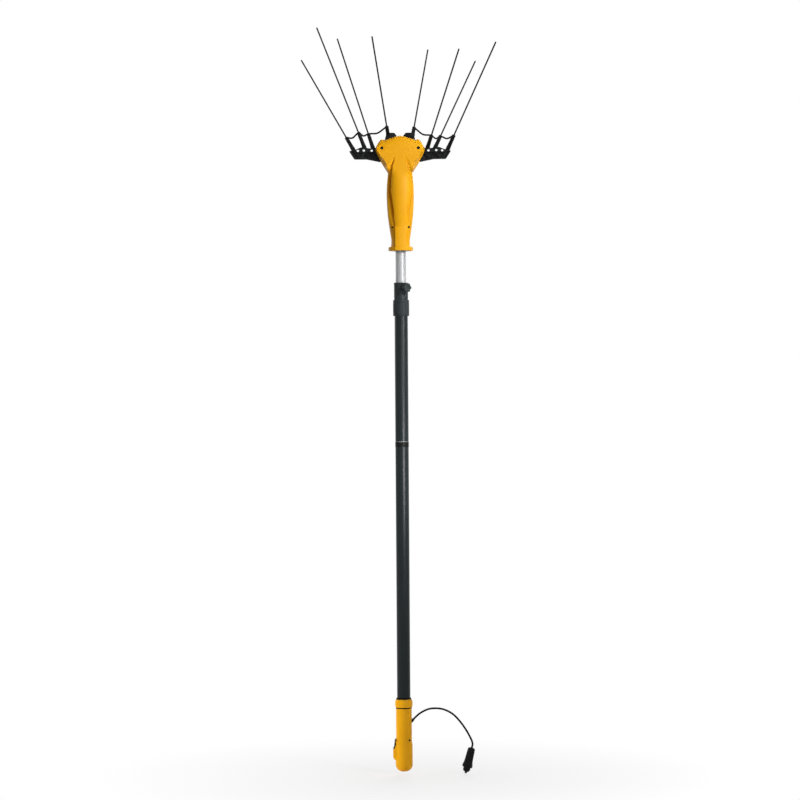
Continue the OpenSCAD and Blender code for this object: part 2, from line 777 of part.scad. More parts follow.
module clamp_jaw() {
  color("#343B3D") difference() {
    union() {
      translate([0, 0, jaw_z]) cylinder(r = jaw_r, h = jaw_h);
      translate([0, 0, jaw_z + jaw_h - ridge_h]) cylinder(r = jaw_r + ridge_out, h = ridge_h);
      knob_axis(0) cylinder(r = knob_boss_r, h = jaw_r + knob_boss_out);
    }
    translate([0, 0, jaw_z - overrun]) cylinder(r = slide_bore_r, h = jaw_h + 2 * overrun);
    knob_axis(0) cylinder(r = stud_r + fit, h = jaw_r + knob_boss_out + overrun);
    for (a = JAW_SLOT_TURNS) {
      rotate([0, 0, a]) translate([-jaw_slot_w / 2, -jaw_r - overrun, jaw_z + jaw_slot_h / 2])
        cube([jaw_slot_w, overrun + jaw_slot_deep, jaw_slot_h]);
    }
  }
}

module clamp_knob() {
  color("#26292A") knob_axis(knob_seat_r) difference() {
    union() {
      cylinder(r = knob_hub_r, h = knob_h);
      for (i = [0 : knob_lobes - 1]) {
        rotate([0, 0, 360 * i / knob_lobes]) translate([knob_r - knob_lobe_r, 0, 0])
          cylinder(r = knob_lobe_r, h = knob_h);
      }
    }
    translate([0, 0, -overrun]) cylinder(r = stud_r + fit / 2, h = overrun + stud_in);
  }
}

module clamp_stud() {
  foot = inner_tube_r + 2 * run_gap;
  color("#B8B8B8") knob_axis(foot) cylinder(r = stud_r, h = knob_seat_r + stud_in - foot);
}

// Head shells
function head_level(share) = head_z + head_h * share;
function row_shares(i, lining) = HEAD_ROWS_SHARES[lining ? max(i, head_foot_rows) : i];
function head_point(i, j, lining) =
  let (
    share = HEAD_ROWS_SHARES[i][0], row = row_shares(i, lining), wall = lining ? head_wall : 0, n = row[3],
    a = 180 * j / head_columns - 90,
    half_w = row[1] * ear_half - wall,
    half_d = max(row[2] * head_half_d - wall, 0),
    u = sign(a) * pow(abs(sin(a)), 2 / n),
    lid = max(0, min(1, (share - head_lid_from_share) / (head_lid_to_share - head_lid_from_share))),
    high = max(0, (share - head_edge_from_share) / (1 - head_edge_from_share)),
    edge = high * lookup(abs(u), HEAD_EDGE_SHARES)
  )
  [u * half_w, -half_d * pow(abs(cos(a)), 2 / n), head_level(share) + apex_rise * edge - wall * lid];

module head_skin() {
  rows = len(HEAD_ROWS_SHARES);
  wide = head_columns + 1;
  inside = rows * wide;
  last = (rows - 1) * wide;
  points = [
    for (lining = [false, true], i = [0 : rows - 1], j = [0 : head_columns]) head_point(i, j, lining)
  ];
  grid = [
    for (i = [0 : rows - 2], j = [0 : head_columns - 1])
      let (a = i * wide + j, b = a + 1, d = a + wide, c = d + 1)
      each [[a, d, c], [a, c, b], [inside + a, inside + c, inside + d], [inside + a, inside + b, inside + c]]
  ];
  sides = [
    for (i = [0 : rows - 2])
      let (a = i * wide, d = a + wide, b = a + head_columns, c = b + wide)
      each [[d, a, inside + a], [d, inside + a, inside + d], [b, c, inside + c], [b, inside + c, inside + b]]
  ];
  ends = [
    for (j = [0 : head_columns - 1])
      let (a = j, b = j + 1, d = last + j, c = d + 1)
      each [[a, b, inside + b], [a, inside + b, inside + a], [c, d, inside + d], [c, inside + d, inside + c]]
  ];
  polyhedron(points, concat(grid, sides, ends));
}

module head_shell() {
  difference() {
    union() {
      head_skin();
      for (side = [-1, 1]) {
        y_cylinder(side * pivot_half, pivot_z, ear_boss_r, -ear_boss_end, -cheek_y - frame_t - run_gap);
        y_cylinder(side * low_screw_x, low_screw_z, low_boss_r, -low_boss_end, 0);
      }
    }
    span([-2 * ear_half, -slot_w / 2, head_level(slot_foot_share)],
         [2 * ear_half, overrun, head_z + 2 * head_h]);
    for (side = [-1, 1]) {
      y_cylinder(side * pivot_half, pivot_z, ear_head_r + fit, -2 * head_half_d, -ear_seat_y);
      y_cylinder(side * pivot_half, pivot_z, screw_r + fit, -2 * head_half_d, 0);
      y_cylinder(side * low_screw_x, low_screw_z, low_head_r + fit, -2 * head_half_d, -low_screw_seat);
      y_cylinder(side * low_screw_x, low_screw_z, screw_r + fit, -2 * head_half_d, overrun);
    }
  }
}

module head_front_shell() {
  color("#ECA824") head_shell();
}

module head_rear_shell() {
  color("#ECA824") mirror([0, 1, 0]) head_shell();
}

module head_screws() {
  color("#3A3A3A") for (side = [-1, 1]) {
    for (flip = [0, 1]) {
      mirror([0, flip, 0]) {
        y_cylinder(side * pivot_half, pivot_z, ear_head_r, -ear_seat_y - screw_head_h / 2, -ear_seat_y);
        y_cylinder(side * pivot_half, pivot_z, screw_r, -ear_seat_y, -cheek_y);
      }
    }
    y_cylinder(side * low_screw_x, low_screw_z, low_head_r, -low_screw_seat - screw_head_h, -low_screw_seat);
    y_cylinder(side * low_screw_x, low_screw_z, screw_r, -low_screw_seat, low_screw_seat);
  }
}

module tube_socket() {
  color("#B0B4B6") translate([0, 0, head_z + socket_foot]) difference() {
    union() {
      cylinder(r = socket_r, h = socket_h);
      cylinder(r = socket_neck_r, h = socket_h + socket_neck_h);
    }
    translate([0, 0, -overrun]) cylinder(r = inner_tube_r + fit / 2, h = socket_depth + overrun);
    cylinder(r = lead_hole_r, h = socket_h + socket_neck_h + overrun);
  }
}

// Head frame with its cheeks, rod walls and base
module head_frame() {
  wing = pivot_half + pivot_r + cheek_rim;
  foot = base_r * cheek_foot_share;
  waist = base_r * cheek_waist_share;
  ear_low = pivot_z - cheek_ear_down;
  waist_z = frame_z + (ear_low - frame_z) * cheek_waist_up_share;
  ear_top = pivot_z + cheek_ear_up;
  cheek = [
    [-foot, frame_z], [foot, frame_z], [waist, waist_z], [wing, ear_low],
    [wing, ear_top], [-wing, ear_top], [-wing, ear_low], [-waist, waist_z]
  ];
  color("#A9AEB0") difference() {
    union() {
      translate([0, 0, frame_z]) cylinder(r = base_r, h = base_t);
      for (side = [-1, 1]) {
        y_plate(cheek, side < 0 ? -cheek_y - frame_t : cheek_y, side < 0 ? -cheek_y : cheek_y + frame_t);
        span([side < 0 ? -wall_x - frame_t : wall_x, -cheek_y - eps, slider_z - wall_drop],
             [side < 0 ? -wall_x : wall_x + frame_t, cheek_y + eps, slider_z + slider_h - wall_dip]);
      }
    }
    translate([0, 0, frame_z - overrun]) cylinder(r = drive_shaft_r + run_gap, h = base_t + 2 * overrun);
    translate([0, 0, bearing_z]) cylinder(r = bearing_r + fit / 2, h = bearing_h + overrun);
    for (side = [-1, 1]) {
      y_cylinder(side * pivot_half, pivot_z, pivot_r + fit / 2, -2 * head_half_d, 2 * head_half_d);
      x_cylinder(side * rod_y, slider_mid_z, rod_r + fit / 2, -2 * wall_x, 2 * wall_x);
    }
  }
}

module pivot_shafts() {
  end = cheek_y + frame_t;
  color("#B8B8B8") for (side = [-1, 1]) {
    difference() {
      y_cylinder(side * pivot_half, pivot_z, pivot_r, -end, end);
      for (flip = [0, 1]) {
        mirror([0, flip, 0])
          y_cylinder(side * pivot_half, pivot_z, screw_r + fit / 2, -end - overrun, -cheek_y + fit);
      }
    }
  }
}

module pivot_bushes() {
  color("#C9A24A") for (side = [-1, 1], flip = [0, 1]) {
    mirror([0, flip, 0]) difference() {
      y_cylinder(side * pivot_half, pivot_z, bush_r, hub_half + bush_gap, cheek_y);
      y_cylinder(side * pivot_half, pivot_z, pivot_r + fit / 2, 0, head_half_d);
    }
  }
}

module guide_rods() {
  color("#B8B8B8") for (side = [-1, 1]) {
    x_cylinder(side * rod_y, slider_mid_z, rod_r, -wall_x - frame_t, wall_x + frame_t);
  }
}

// Motor and planetary gears
module motor_can() {
  color("#6E7376") translate([0, 0, motor_z]) difference() {
    cylinder(r = motor_r, h = motor_len);
    translate([0, 0, motor_wall]) cylinder(r = motor_r - motor_wall, h = motor_len - 2 * motor_wall);
    translate([0, 0, -overrun]) cylinder(r = motor_shaft_r + fit, h = motor_len + 2 * overrun);
  }
}

module motor_rotor() {
  color("#7A4A2A") {
    translate([0, 0, motor_z + rotor_end]) cylinder(r = rotor_r, h = motor_len - 2 * rotor_end);
    translate([0, 0, motor_z - rotor_tail])
      cylinder(r = motor_shaft_r, h = planet_z + sun_h - motor_z + rotor_tail);
  }
}

module sun_pinion() {
  color("#9A9A9A") translate([0, 0, planet_z]) spur_gear(sun_teeth, 0, sun_h, motor_shaft_r + fit / 2);
}

module planet(i) {
  color("#9A9A9A") rotate([0, 0, 360 * i / planets]) translate([orbit_r, 0, planet_z])
    spur_gear(planet_teeth, 180 / planet_teeth, planet_h, planet_pin_r + fit);
}

module ring_gear() {
  pitch = ring_teeth * gear_module / 2;
  low = pitch - addendum_share * gear_module;
  high = pitch + dedendum_share * gear_module;
  color("#8C8C8C") translate([0, 0, ring_z]) linear_extrude(ring_h) difference() {
    circle(r = ring_r);
    polygon(gear_points(ring_teeth, gear_module, -gear_slack, low, high, 180 / ring_teeth));
  }
}

module eccentric_shaft() {
  color("#A0A0A0") {
    translate([0, 0, carrier_z]) difference() {
      cylinder(r = carrier_r, h = carrier_t);
      translate([0, 0, -overrun]) cylinder(r = motor_shaft_r + run_gap, h = overrun + eps);
    }
    for (i = [0 : planets - 1]) {
      rotate([0, 0, 360 * i / planets]) translate([orbit_r, 0, planet_z])
        cylinder(r = planet_pin_r, h = carrier_z - planet_z + carrier_t / 2);
    }
    translate([0, 0, carrier_z]) cylinder(r = drive_shaft_r, h = slider_z - carrier_z);
    translate([throw, 0, slider_z - eccentric_gap]) cylinder(r = eccentric_r, h = slider_h);
  }
}

module shaft_bearing() {
  color("#B8B8B8") translate([0, 0, bearing_z]) ring(bearing_r, drive_shaft_r + fit, bearing_h);
}

module eccentric_bearing() {
  color("#B8B8B8") translate([throw, 0, slider_z])
    ring(yoke_bearing_r, eccentric_r + fit / 2, slider_h - 2 * eccentric_gap);
}

module drive_slider() {
  color("#8E9396") difference() {
    union() {
      span([-yoke_x, -yoke_y, slider_z], [yoke_x, yoke_y, slider_z + slider_h]);
      span([-lever_x - arm_end, arm_y[0], slider_z + slider_h - eps],
           [arm_in - yoke_x, arm_y[1], lever_z + arm_up]);
    }
    span([-window_x, -window_y, slider_z - overrun], [window_x, window_y, slider_z + slider_h + overrun]);
    for (side = [-1, 1]) x_cylinder(side * rod_y, slider_mid_z, rod_r + fit, -2 * yoke_x, 2 * yoke_x);
    y_cylinder(-lever_x, lever_z, slider_pin_r + fit / 2, -2 * hub_half, 2 * hub_half);
  }
}

module slider_pin() {
  color("#B8B8B8") y_cylinder(-lever_x, lever_z, slider_pin_r, lever_y[0], arm_y[1]);
}

// Rockers
module sector(places) {
  low = pivot_half - dedendum_share * sector_module;
  high = pivot_half + addendum_share * sector_module;
  teeth = [
    for (i = places)
      each tooth_points(sector_teeth, sector_module, gear_slack, low, high, 360 * i / sector_teeth)
  ];
  y_plate(concat([[0, 0]], teeth), sector_y[0], sector_y[1]);
}

function tongue_points() = [for (p = TONGUE_SHARES) [-p[0] * arm_reach, p[1] * arm_drop]];

module rocker(places) {
  difference() {
    union() {
      y_cylinder(0, 0, hub_r, -hub_half, hub_half);
      sector(places);
      y_plate(tongue_points(), -tongue_t / 2, tongue_t / 2);
      children();
    }
    y_cylinder(0, 0, pivot_r + fit, -2 * hub_half, 2 * hub_half);
  }
}

module lever() {
  slot_r = slider_pin_r + lever_slack;
  reach = norm([pivot_half - lever_x, pivot_z - lever_z]);
  turn = atan2(pivot_half - lever_x, pivot_z - lever_z);
  rotate([0, -turn, 0]) difference() {
    span([-slot_r - lever_wall, lever_y[0], -reach - lever_slot_half - slot_r - lever_wall],
         [slot_r + lever_wall, lever_y[1], 0]);
    span([-slot_r, -2 * hub_half, -reach - lever_slot_half],
         [slot_r, 2 * hub_half, -reach + lever_slot_half]);
    y_cylinder(0, -reach - lever_slot_half, slot_r, -2 * hub_half, 2 * hub_half);
    y_cylinder(0, -reach + lever_slot_half, slot_r, -2 * hub_half, 2 * hub_half);
  }
}

module left_rocker() {
  color("#7D8285") translate([-pivot_half, 0, pivot_z]) rocker(left_sector_teeth) lever();
}

module right_rocker() {
  color("#7D8285") mirror([1, 0, 0]) translate([-pivot_half, 0, pivot_z]) rocker(right_sector_teeth);
}

// Palms, tines and links: a comb is drawn round its own pivot, outwards along -X for the left one
function palm_place(p) = [-p[0] * arm_reach, p[1] * (p[1] < 0 ? arm_drop : wedge_rise)];
function tine_foot(side, p) = let (q = palm_place(p)) [side * (pivot_half - q[0]), 0, pivot_z + q[1]];
function tine_top(p) = socket_len * p[4];
function tine_low(p) = (socket_len - tine_seat) * p[4];
function tine_way(p) = [cos(p[3]) * sin(p[2]), sin(p[3]), cos(p[3]) * cos(p[2])];

module on_tine(side, p, s) {
  translate(tine_foot(side, p)) rotate([-p[3], p[2], 0]) translate([0, 0, s]) children();
}

module palm(side, tines) {
  base_wall = socket_top_wall + socket_taper;
  difference() {
    union() {
      mirror([side < 0 ? 0 : 1, 0, 0]) translate([-pivot_half, 0, pivot_z]) difference() {
        y_plate([for (p = concat(PALM_LOW_SHARES, PALM_TOP_SHARES)) palm_place(p)], -palm_t / 2, palm_t / 2);
        y_cylinder(0, 0, hub_r + fit, -palm_t, palm_t);
        y_plate(tongue_points(), -tongue_t / 2 - fit, tongue_t / 2 + fit);
      }
      for (p = tines) {
        on_tine(side, p, -tine_foot_sink)
          cylinder(r1 = tine_r + base_wall, r2 = tine_r + socket_top_wall, h = tine_top(p) + tine_foot_sink);
      }
    }
    for (p = tines) {
      on_tine(side, p, tine_low(p)) cylinder(r = tine_r + fit / 2, h = tine_top(p) + overrun);
    }
    for (p = PALM_HOLES_SHARES) {
      hole = tine_foot(side, p);
      y_cylinder(hole[0], hole[2], palm_hole_r, -palm_t, palm_t);
    }
  }
}

module tine(side, p) {
  color("#1A1A1A") on_tine(side, p, tine_low(p))
    cylinder(r = tine_r, h = tine_top(p) - tine_low(p) + tine_show);
}

module link(side, tines) {
  mid = link_collar_h * link_seat_share;
  ends = [for (p = tines) tine_foot(side, p) + (tine_top(p) + mid) * tine_way(p)];
  route = [
    for (i = [0 : len(ends) - 2], k = [0 : link_steps - (i < len(ends) - 2 ? 1 : 0)])
      let (t = k / link_steps)
      ends[i] + t * (ends[i + 1] - ends[i]) - [0, 0, link_dip * pow(sin(180 * t), 2)]
  ];
  difference() {
    union() {
      for (p = tines) {
        on_tine(side, p, tine_top(p)) cylinder(r = tine_r + link_collar_wall, h = link_collar_h);
      }
      polyhedron(sweep_points(route, link_d / 2, link_sides, [0, 1, 0]), tube_faces(len(route), link_sides));
    }
    for (p = tines) on_tine(side, p, 0) cylinder(r = tine_r + fit / 2, h = socket_len + tine_show);
  }
}

module left_palm() {
  color("#1D1D1D") palm(-1, LEFT_TINES_SHARES);
}

module right_palm() {
  color("#1D1D1D") palm(1, RIGHT_TINES_SHARES);
}

module left_link() {
  color("#1D1D1D") link(-1, LEFT_TINES_SHARES);
}

module right_link() {
  color("#1D1D1D") link(1, RIGHT_TINES_SHARES);
}

handle_front_shell();
handle_rear_shell();
handle_collar();
handle_gasket();
handle_screws();
trigger();
trigger_pin();
trigger_spring();
micro_switch();
control_board();
cable_grommet();
power_cord();
plug_body();
plug_nose();
plug_tip();
plug_contacts();
outer_tube();
tube_band();
clamp_sleeve();
clamp_jaw();
clamp_knob();
clamp_stud();
inner_tube();
guide_bush();
tube_socket();
head_front_shell();
head_rear_shell();
head_screws();
head_frame();
pivot_shafts();
pivot_bushes();
guide_rods();
motor_can();
ring_gear();
shaft_bearing();
motor_rotor();
sun_pinion();
planet(0);  // planet_1
planet(1);  // planet_2
planet(2);  // planet_3
eccentric_shaft();
eccentric_bearing();
drive_slider();
slider_pin();
left_rocker();
right_rocker();
left_palm();
right_palm();
left_link();
right_link();
tine(-1, LEFT_TINES_SHARES[0]);  // left_tine_1
tine(-1, LEFT_TINES_SHARES[1]);  // left_tine_2
tine(-1, LEFT_TINES_SHARES[2]);  // left_tine_3
tine(-1, LEFT_TINES_SHARES[3]);  // left_tine_4
tine(1, RIGHT_TINES_SHARES[0]);  // right_tine_1
tine(1, RIGHT_TINES_SHARES[1]);  // right_tine_2
tine(1, RIGHT_TINES_SHARES[2]);  // right_tine_3
tine(1, RIGHT_TINES_SHARES[3]);  // right_tine_4
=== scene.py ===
"""Electric olive harvester: the finish of every piece, its lead, the studio and the camera."""

import json
from math import asin, cos, pi, radians, sin, sqrt

import bmesh
import bpy
from mathutils import Matrix, Vector


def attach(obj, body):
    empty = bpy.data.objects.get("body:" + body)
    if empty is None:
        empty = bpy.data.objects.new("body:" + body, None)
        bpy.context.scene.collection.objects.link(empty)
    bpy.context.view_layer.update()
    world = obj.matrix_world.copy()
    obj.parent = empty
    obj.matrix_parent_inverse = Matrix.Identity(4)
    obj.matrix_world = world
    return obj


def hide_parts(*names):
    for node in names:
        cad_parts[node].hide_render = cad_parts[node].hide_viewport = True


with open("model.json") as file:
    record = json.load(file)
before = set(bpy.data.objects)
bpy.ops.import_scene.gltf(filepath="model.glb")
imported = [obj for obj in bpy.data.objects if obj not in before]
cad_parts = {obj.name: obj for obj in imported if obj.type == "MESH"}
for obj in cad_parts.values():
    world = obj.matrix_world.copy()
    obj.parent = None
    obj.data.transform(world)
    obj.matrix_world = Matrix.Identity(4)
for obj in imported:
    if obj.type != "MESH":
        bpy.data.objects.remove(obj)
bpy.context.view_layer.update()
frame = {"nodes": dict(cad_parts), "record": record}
nodes = frame["nodes"]

MM = 0.001
SIDES = (-1, 1)
# Degrees: flatter edges are shaded smooth, and edges sharper than the last value are bevelled
SMOOTH = 32
SMOOTH_MOULDED = 30
SMOOTH_TURNED = 40
SMOOTH_SWEPT = 45
BEVEL_ABOVE = 40
# Share of a side that a rounded corner takes at most, distance of welded points, and sizes of cutters
CORNER_SHARE = 0.45
WELD = 0.002
OVERRUN = 5
CUT_LEN = 60

# Sizes shared with the solids, in millimetres
TUBE_R = 19.0
INNER_R = 15.0
TUBE_WALL = 1.5
GRIP_R = 22.5
GRIP_WALL = 3.45
GRIP_FOOT = -103.0
GRIP_TOP = 80.0
SPIGOT_R = 21.45
SPIGOT_TOP = 96.0
BORE_R = 19.05
FIT = 0.05
HEAD_FOOT = 1384.0
HEAD_H = 318.0
PIVOT_X = 52.0
PIVOT_Z = 1675.0


def placed(name, data):
    """A new object in the scene."""
    made = bpy.data.objects.new(name, data)
    bpy.context.scene.collection.objects.link(made)
    return made


# Helpers that make meshes, with sizes in millimetres. Every piece keeps its smooth angle.
ANGLES = {}


def mesh_object(name, points, faces, smooth=SMOOTH):
    """A mesh in place, from points in millimetres."""
    mesh = bpy.data.meshes.new(name)
    mesh.from_pydata([Vector(p) * MM for p in points], [], faces)
    piece = placed(name, mesh)
    ANGLES[piece.name] = smooth
    tidy_mesh(piece)
    return piece


def tidy_mesh(piece):
    """Welds doubled points, turns the faces outwards and shades smooth below the piece's angle."""
    work = bmesh.new()
    work.from_mesh(piece.data)
    bmesh.ops.remove_doubles(work, verts=work.verts, dist=WELD * MM)
    bmesh.ops.dissolve_degenerate(work, edges=work.edges, dist=WELD * MM)
    bmesh.ops.recalc_face_normals(work, faces=work.faces)
    work.to_mesh(piece.data)
    work.free()
    piece.data.shade_smooth()
    piece.data.set_sharp_from_angle(angle=radians(ANGLES[piece.name]))


def settle(piece):
    """Applies the modifiers of a piece to its mesh."""
    bpy.context.view_layer.update()
    seen = piece.evaluated_get(bpy.context.evaluated_depsgraph_get())
    mesh = bpy.data.meshes.new_from_object(seen)
    piece.modifiers.clear()
    old = piece.data
    piece.data = mesh
    bpy.data.meshes.remove(old)
    tidy_mesh(piece)


def combine(piece, others, operation="UNION"):
    """Joins other solids to a piece, or cuts them out of it, and takes them away."""
    for other in others:
        step = piece.modifiers.new("combine", "BOOLEAN")
        step.operation = operation
        step.solver = "EXACT"
        step.object = other
    settle(piece)
    for other in others:
        bpy.data.objects.remove(other)
    return piece


def joined(piece, others):
    """Adds the meshes of other solids to a piece as they are, and takes them away."""
    work = bmesh.new()
    for one in (piece, *others):
        work.from_mesh(one.data)
    work.to_mesh(piece.data)
    work.free()
    for other in others:
        bpy.data.objects.remove(other)
    tidy_mesh(piece)
    return piece


def cut(piece, others):
    """Cuts other solids out of a piece and takes them away."""
    return combine(piece, others, "DIFFERENCE")


def soften(piece, width, segments):
    """Rounds the sharp edges of a piece."""
    step = piece.modifiers.new("soften", "BEVEL")
    step.width = width * MM
    step.segments = segments
    step.limit_method = "ANGLE"
    step.angle_limit = radians(BEVEL_ABOVE)
    settle(piece)


def grid_faces(rows, columns, wrap_rows=False, wrap_columns=False):
    """Quads of a grid of points that is stored row by row."""
    faces = []
    for i in range(rows if wrap_rows else rows - 1):
        for j in range(columns if wrap_columns else columns - 1):
            k = (i + 1) % rows
            n = (j + 1) % columns
            faces.append((i * columns + j, i * columns + n, k * columns + n, k * columns + j))
    return faces


def turns(count, start=0):
    """Angles at equal steps round a full turn."""
    return [2 * pi * (k + start) / count for k in range(count)]


def polar(r, a, z):
    """A point at a radius, an angle and a height."""
    return Vector((r * cos(a), r * sin(a), z))


def lathe(name, outline, segments, place=None, smooth=SMOOTH_TURNED):
    """A solid turned about Z from a closed outline of (radius, height) points."""
    points = [polar(r, a, z) for r, z in outline for a in turns(segments)]
    if place is not None:
        points = [place @ p for p in points]
    return mesh_object(name, points, grid_faces(len(outline), segments, True, True), smooth)


def rounded(outline, radius, steps=3):
    """A closed outline of 2-D points with each corner rounded by up to the radius."""
    done = []
    count = len(outline)
    for k in range(count):
        a, b, c = (Vector(outline[(k + d) % count]) for d in (-1, 0, 1))
        reach = min(radius, (a - b).length * CORNER_SHARE, (c - b).length * CORNER_SHARE)
        start = b + (a - b).normalized() * reach
        end = b + (c - b).normalized() * reach
        for s in range(steps + 1):
            t = s / steps
            done.append((1 - t) ** 2 * start + 2 * t * (1 - t) * b + t ** 2 * end)
    return [tuple(p) for p in done]


def plate(name, outline, y0, y1, smooth=SMOOTH):
    """A plate of constant thickness across Y from an outline of (x, z) points."""
    count = len(outline)
    points = [(x, y, z) for y in (y0, y1) for x, z in outline]
    faces = [tuple(range(count)), tuple(reversed(range(count, 2 * count)))]
    for j in range(count):
        n = (j + 1) % count
        faces.append((j, count + j, count + n, n))
    return mesh_object(name, points, faces, smooth)


def axis_place(origin, direction):
    """Places a piece that is drawn along Z at an origin, along a direction."""
    aim = Vector(direction).to_track_quat("Z", "Y").to_matrix().to_4x4()
    return Matrix.Translation(Vector(origin)) @ aim


def rod(name, origin, direction, radius, length, segments=32):
    """A plain round cutter."""
    outline = [(0, 0), (radius, 0), (radius, length), (0, length)]
    return lathe(name, outline, segments, axis_place(origin, direction))


def bore(x, z, radius, segments=32, half=20):
    """A round cutter along Y that reaches equally far to the front and back."""
    return rod("bore", (x, -half, z), (0, 1, 0), radius, 2 * half, segments)


def box(name, low, high, place=None):
    """A plain square cutter, drawn at the origin and then placed."""
    (x0, y0, z0), (x1, y1, z1) = low, high
    return moved(plate(name, [(x0, z0), (x1, z0), (x1, z1), (x0, z1)], y0, y1), place)


def moved(piece, place):
    """Moves the mesh of a piece by a placement in millimetres."""
    if place is not None:
        piece.data.transform(Matrix.Scale(MM, 4) @ place @ Matrix.Scale(1 / MM, 4))
    return piece


def sweep(name, route, radius, sides):
    """A round bar along a route that lies mostly across Y."""
    route = [Vector(p) for p in route]
    last = len(route) - 1
    points = []
    for i, p in enumerate(route):
        way = (route[min(i + 1, last)] - route[max(i - 1, 0)]).normalized()
        side = way.cross(Vector((0, 1, 0))).normalized()
        rise = side.cross(way)
        points += [p + radius * (cos(a) * rise + sin(a) * side) for a in turns(sides)]
    faces = grid_faces(len(route), sides, False, True)
    faces.append(tuple(range(sides)))
    faces.append(tuple(reversed(range(last * sides, (last + 1) * sides))))
    return mesh_object(name, points, faces, SMOOTH_SWEPT)


def smooth_row(keys, at):
    """The values beside a place in the first column of a table, on smooth curves through its rows."""
    last = len(keys) - 1
    if at <= keys[0][0]:
        return keys[0][1:]
    if at >= keys[last][0]:
        return keys[last][1:]
    i = max(k for k in range(last) if keys[k][0] <= at)
    span = keys[i + 1][0] - keys[i][0]
    t = (at - keys[i][0]) / span
    h = [2 * t ** 3 - 3 * t ** 2 + 1, t ** 3 - 2 * t ** 2 + t, 3 * t ** 2 - 2 * t ** 3, t ** 3 - t ** 2]

    def slope(k, c):
        before, after = keys[max(k - 1, 0)], keys[min(k + 1, last)]
        return (after[c] - before[c]) / (after[0] - before[0])

    return [
        h[0] * keys[i][c] + h[1] * span * slope(i, c) + h[2] * keys[i + 1][c] + h[3] * span * slope(i + 1, c)
        for c in range(1, len(keys[0]))
    ]


def ease(low, high, at):
    """0 below low, 1 above high and a smooth ramp between them."""
    t = min(1.0, max(0.0, (at - low) / (high - low)))
    return t * t * (3 - 2 * t)


def finish_piece(piece, body, slot, *replaced, look=None):
    """Gives a finished piece its material, its body and the nodes that it stands for."""
    piece.data.materials.clear()
    piece.data.materials.append(MATERIALS[look or slot])
    if replaced:
        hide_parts(*replaced)
    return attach(piece, body)


# Materials: each has a broad colour drift, a fine grain, a varied roughness and a bump
CLOUD_SCALE = 14.0
CLOUD_SPAN = (0.35, 0.7)
GRAIN_SPAN = (0.3, 0.7)
WEAR_SPAN = (0.53, 0.62)
WEAR_MOST = 0.5
DENT_DEPTH = 0.0002


def add_node(tree, kind, **values):
    """A new shader node with some of its inputs set."""
    made = tree.nodes.new("ShaderNode" + kind)
    for key, value in values.items():
        made.inputs[key.replace("_", " ")].default_value = value
    return made


def wire(start, output, end, socket):
    """Links an output of one node to an input of another."""
    end.id_data.links.new(start.outputs[output], end.inputs[socket])


def ranged(start, output, span, low=0, high=1):
    """A node that maps a span of another node's values to a range."""
    made = add_node(start.id_data, "MapRange", From_Min=span[0], From_Max=span[1], To_Min=low, To_Max=high)
    wire(start, output, made, "Value")
    return made


def mixed(share, second):
    """A node that mixes its first colour with a second one, by the result of another node."""
    made = add_node(share.id_data, "Mix")
    made.data_type = "RGBA"
    made.inputs["B"].default_value = (*second, 1)
    wire(share, "Result", made, "Factor")
    return made


def finish(name, colour, drift, rough, grain, bump, metallic=0.0, stretch=(1, 1, 1), spread=0.06, wear=None,
           gloss=0.5):
    """A procedural finish: colour drifts between two tones, and fine grain roughens and dents the surface."""
    material = bpy.data.materials.new(name)
    material.use_nodes = True
    tree = material.node_tree
    shader = tree.nodes["Principled BSDF"]
    shader.inputs["Metallic"].default_value = metallic
    shader.inputs["Specular IOR Level"].default_value = gloss
    place = add_node(tree, "TexCoord")
    mapping = add_node(tree, "Mapping", Scale=stretch)
    wire(place, "Object", mapping, "Vector")
    cloud = add_node(tree, "TexNoise", Scale=CLOUD_SCALE, Detail=4.0, Roughness=0.55)
    wire(place, "Object", cloud, "Vector")
    fine = add_node(tree, "TexNoise", Scale=grain, Detail=3.0, Roughness=0.6)
    wire(mapping, "Vector", fine, "Vector")

    top = mixed(ranged(cloud, "Fac", CLOUD_SPAN), drift)
    top.inputs["A"].default_value = (*colour, 1)
    if wear is not None:
        rubbed = mixed(ranged(add_node(tree, "NewGeometry"), "Pointiness", WEAR_SPAN, 0, WEAR_MOST), wear)
        wire(top, "Result", rubbed, "A")
        top = rubbed
    wire(top, "Result", shader, "Base Color")
    wire(ranged(fine, "Fac", GRAIN_SPAN, rough - spread, rough + spread), "Result", shader, "Roughness")
    dents = add_node(tree, "Bump", Strength=bump, Distance=DENT_DEPTH)
    wire(fine, "Fac", dents, "Height")
    wire(dents, "Normal", shader, "Normal")
    return material


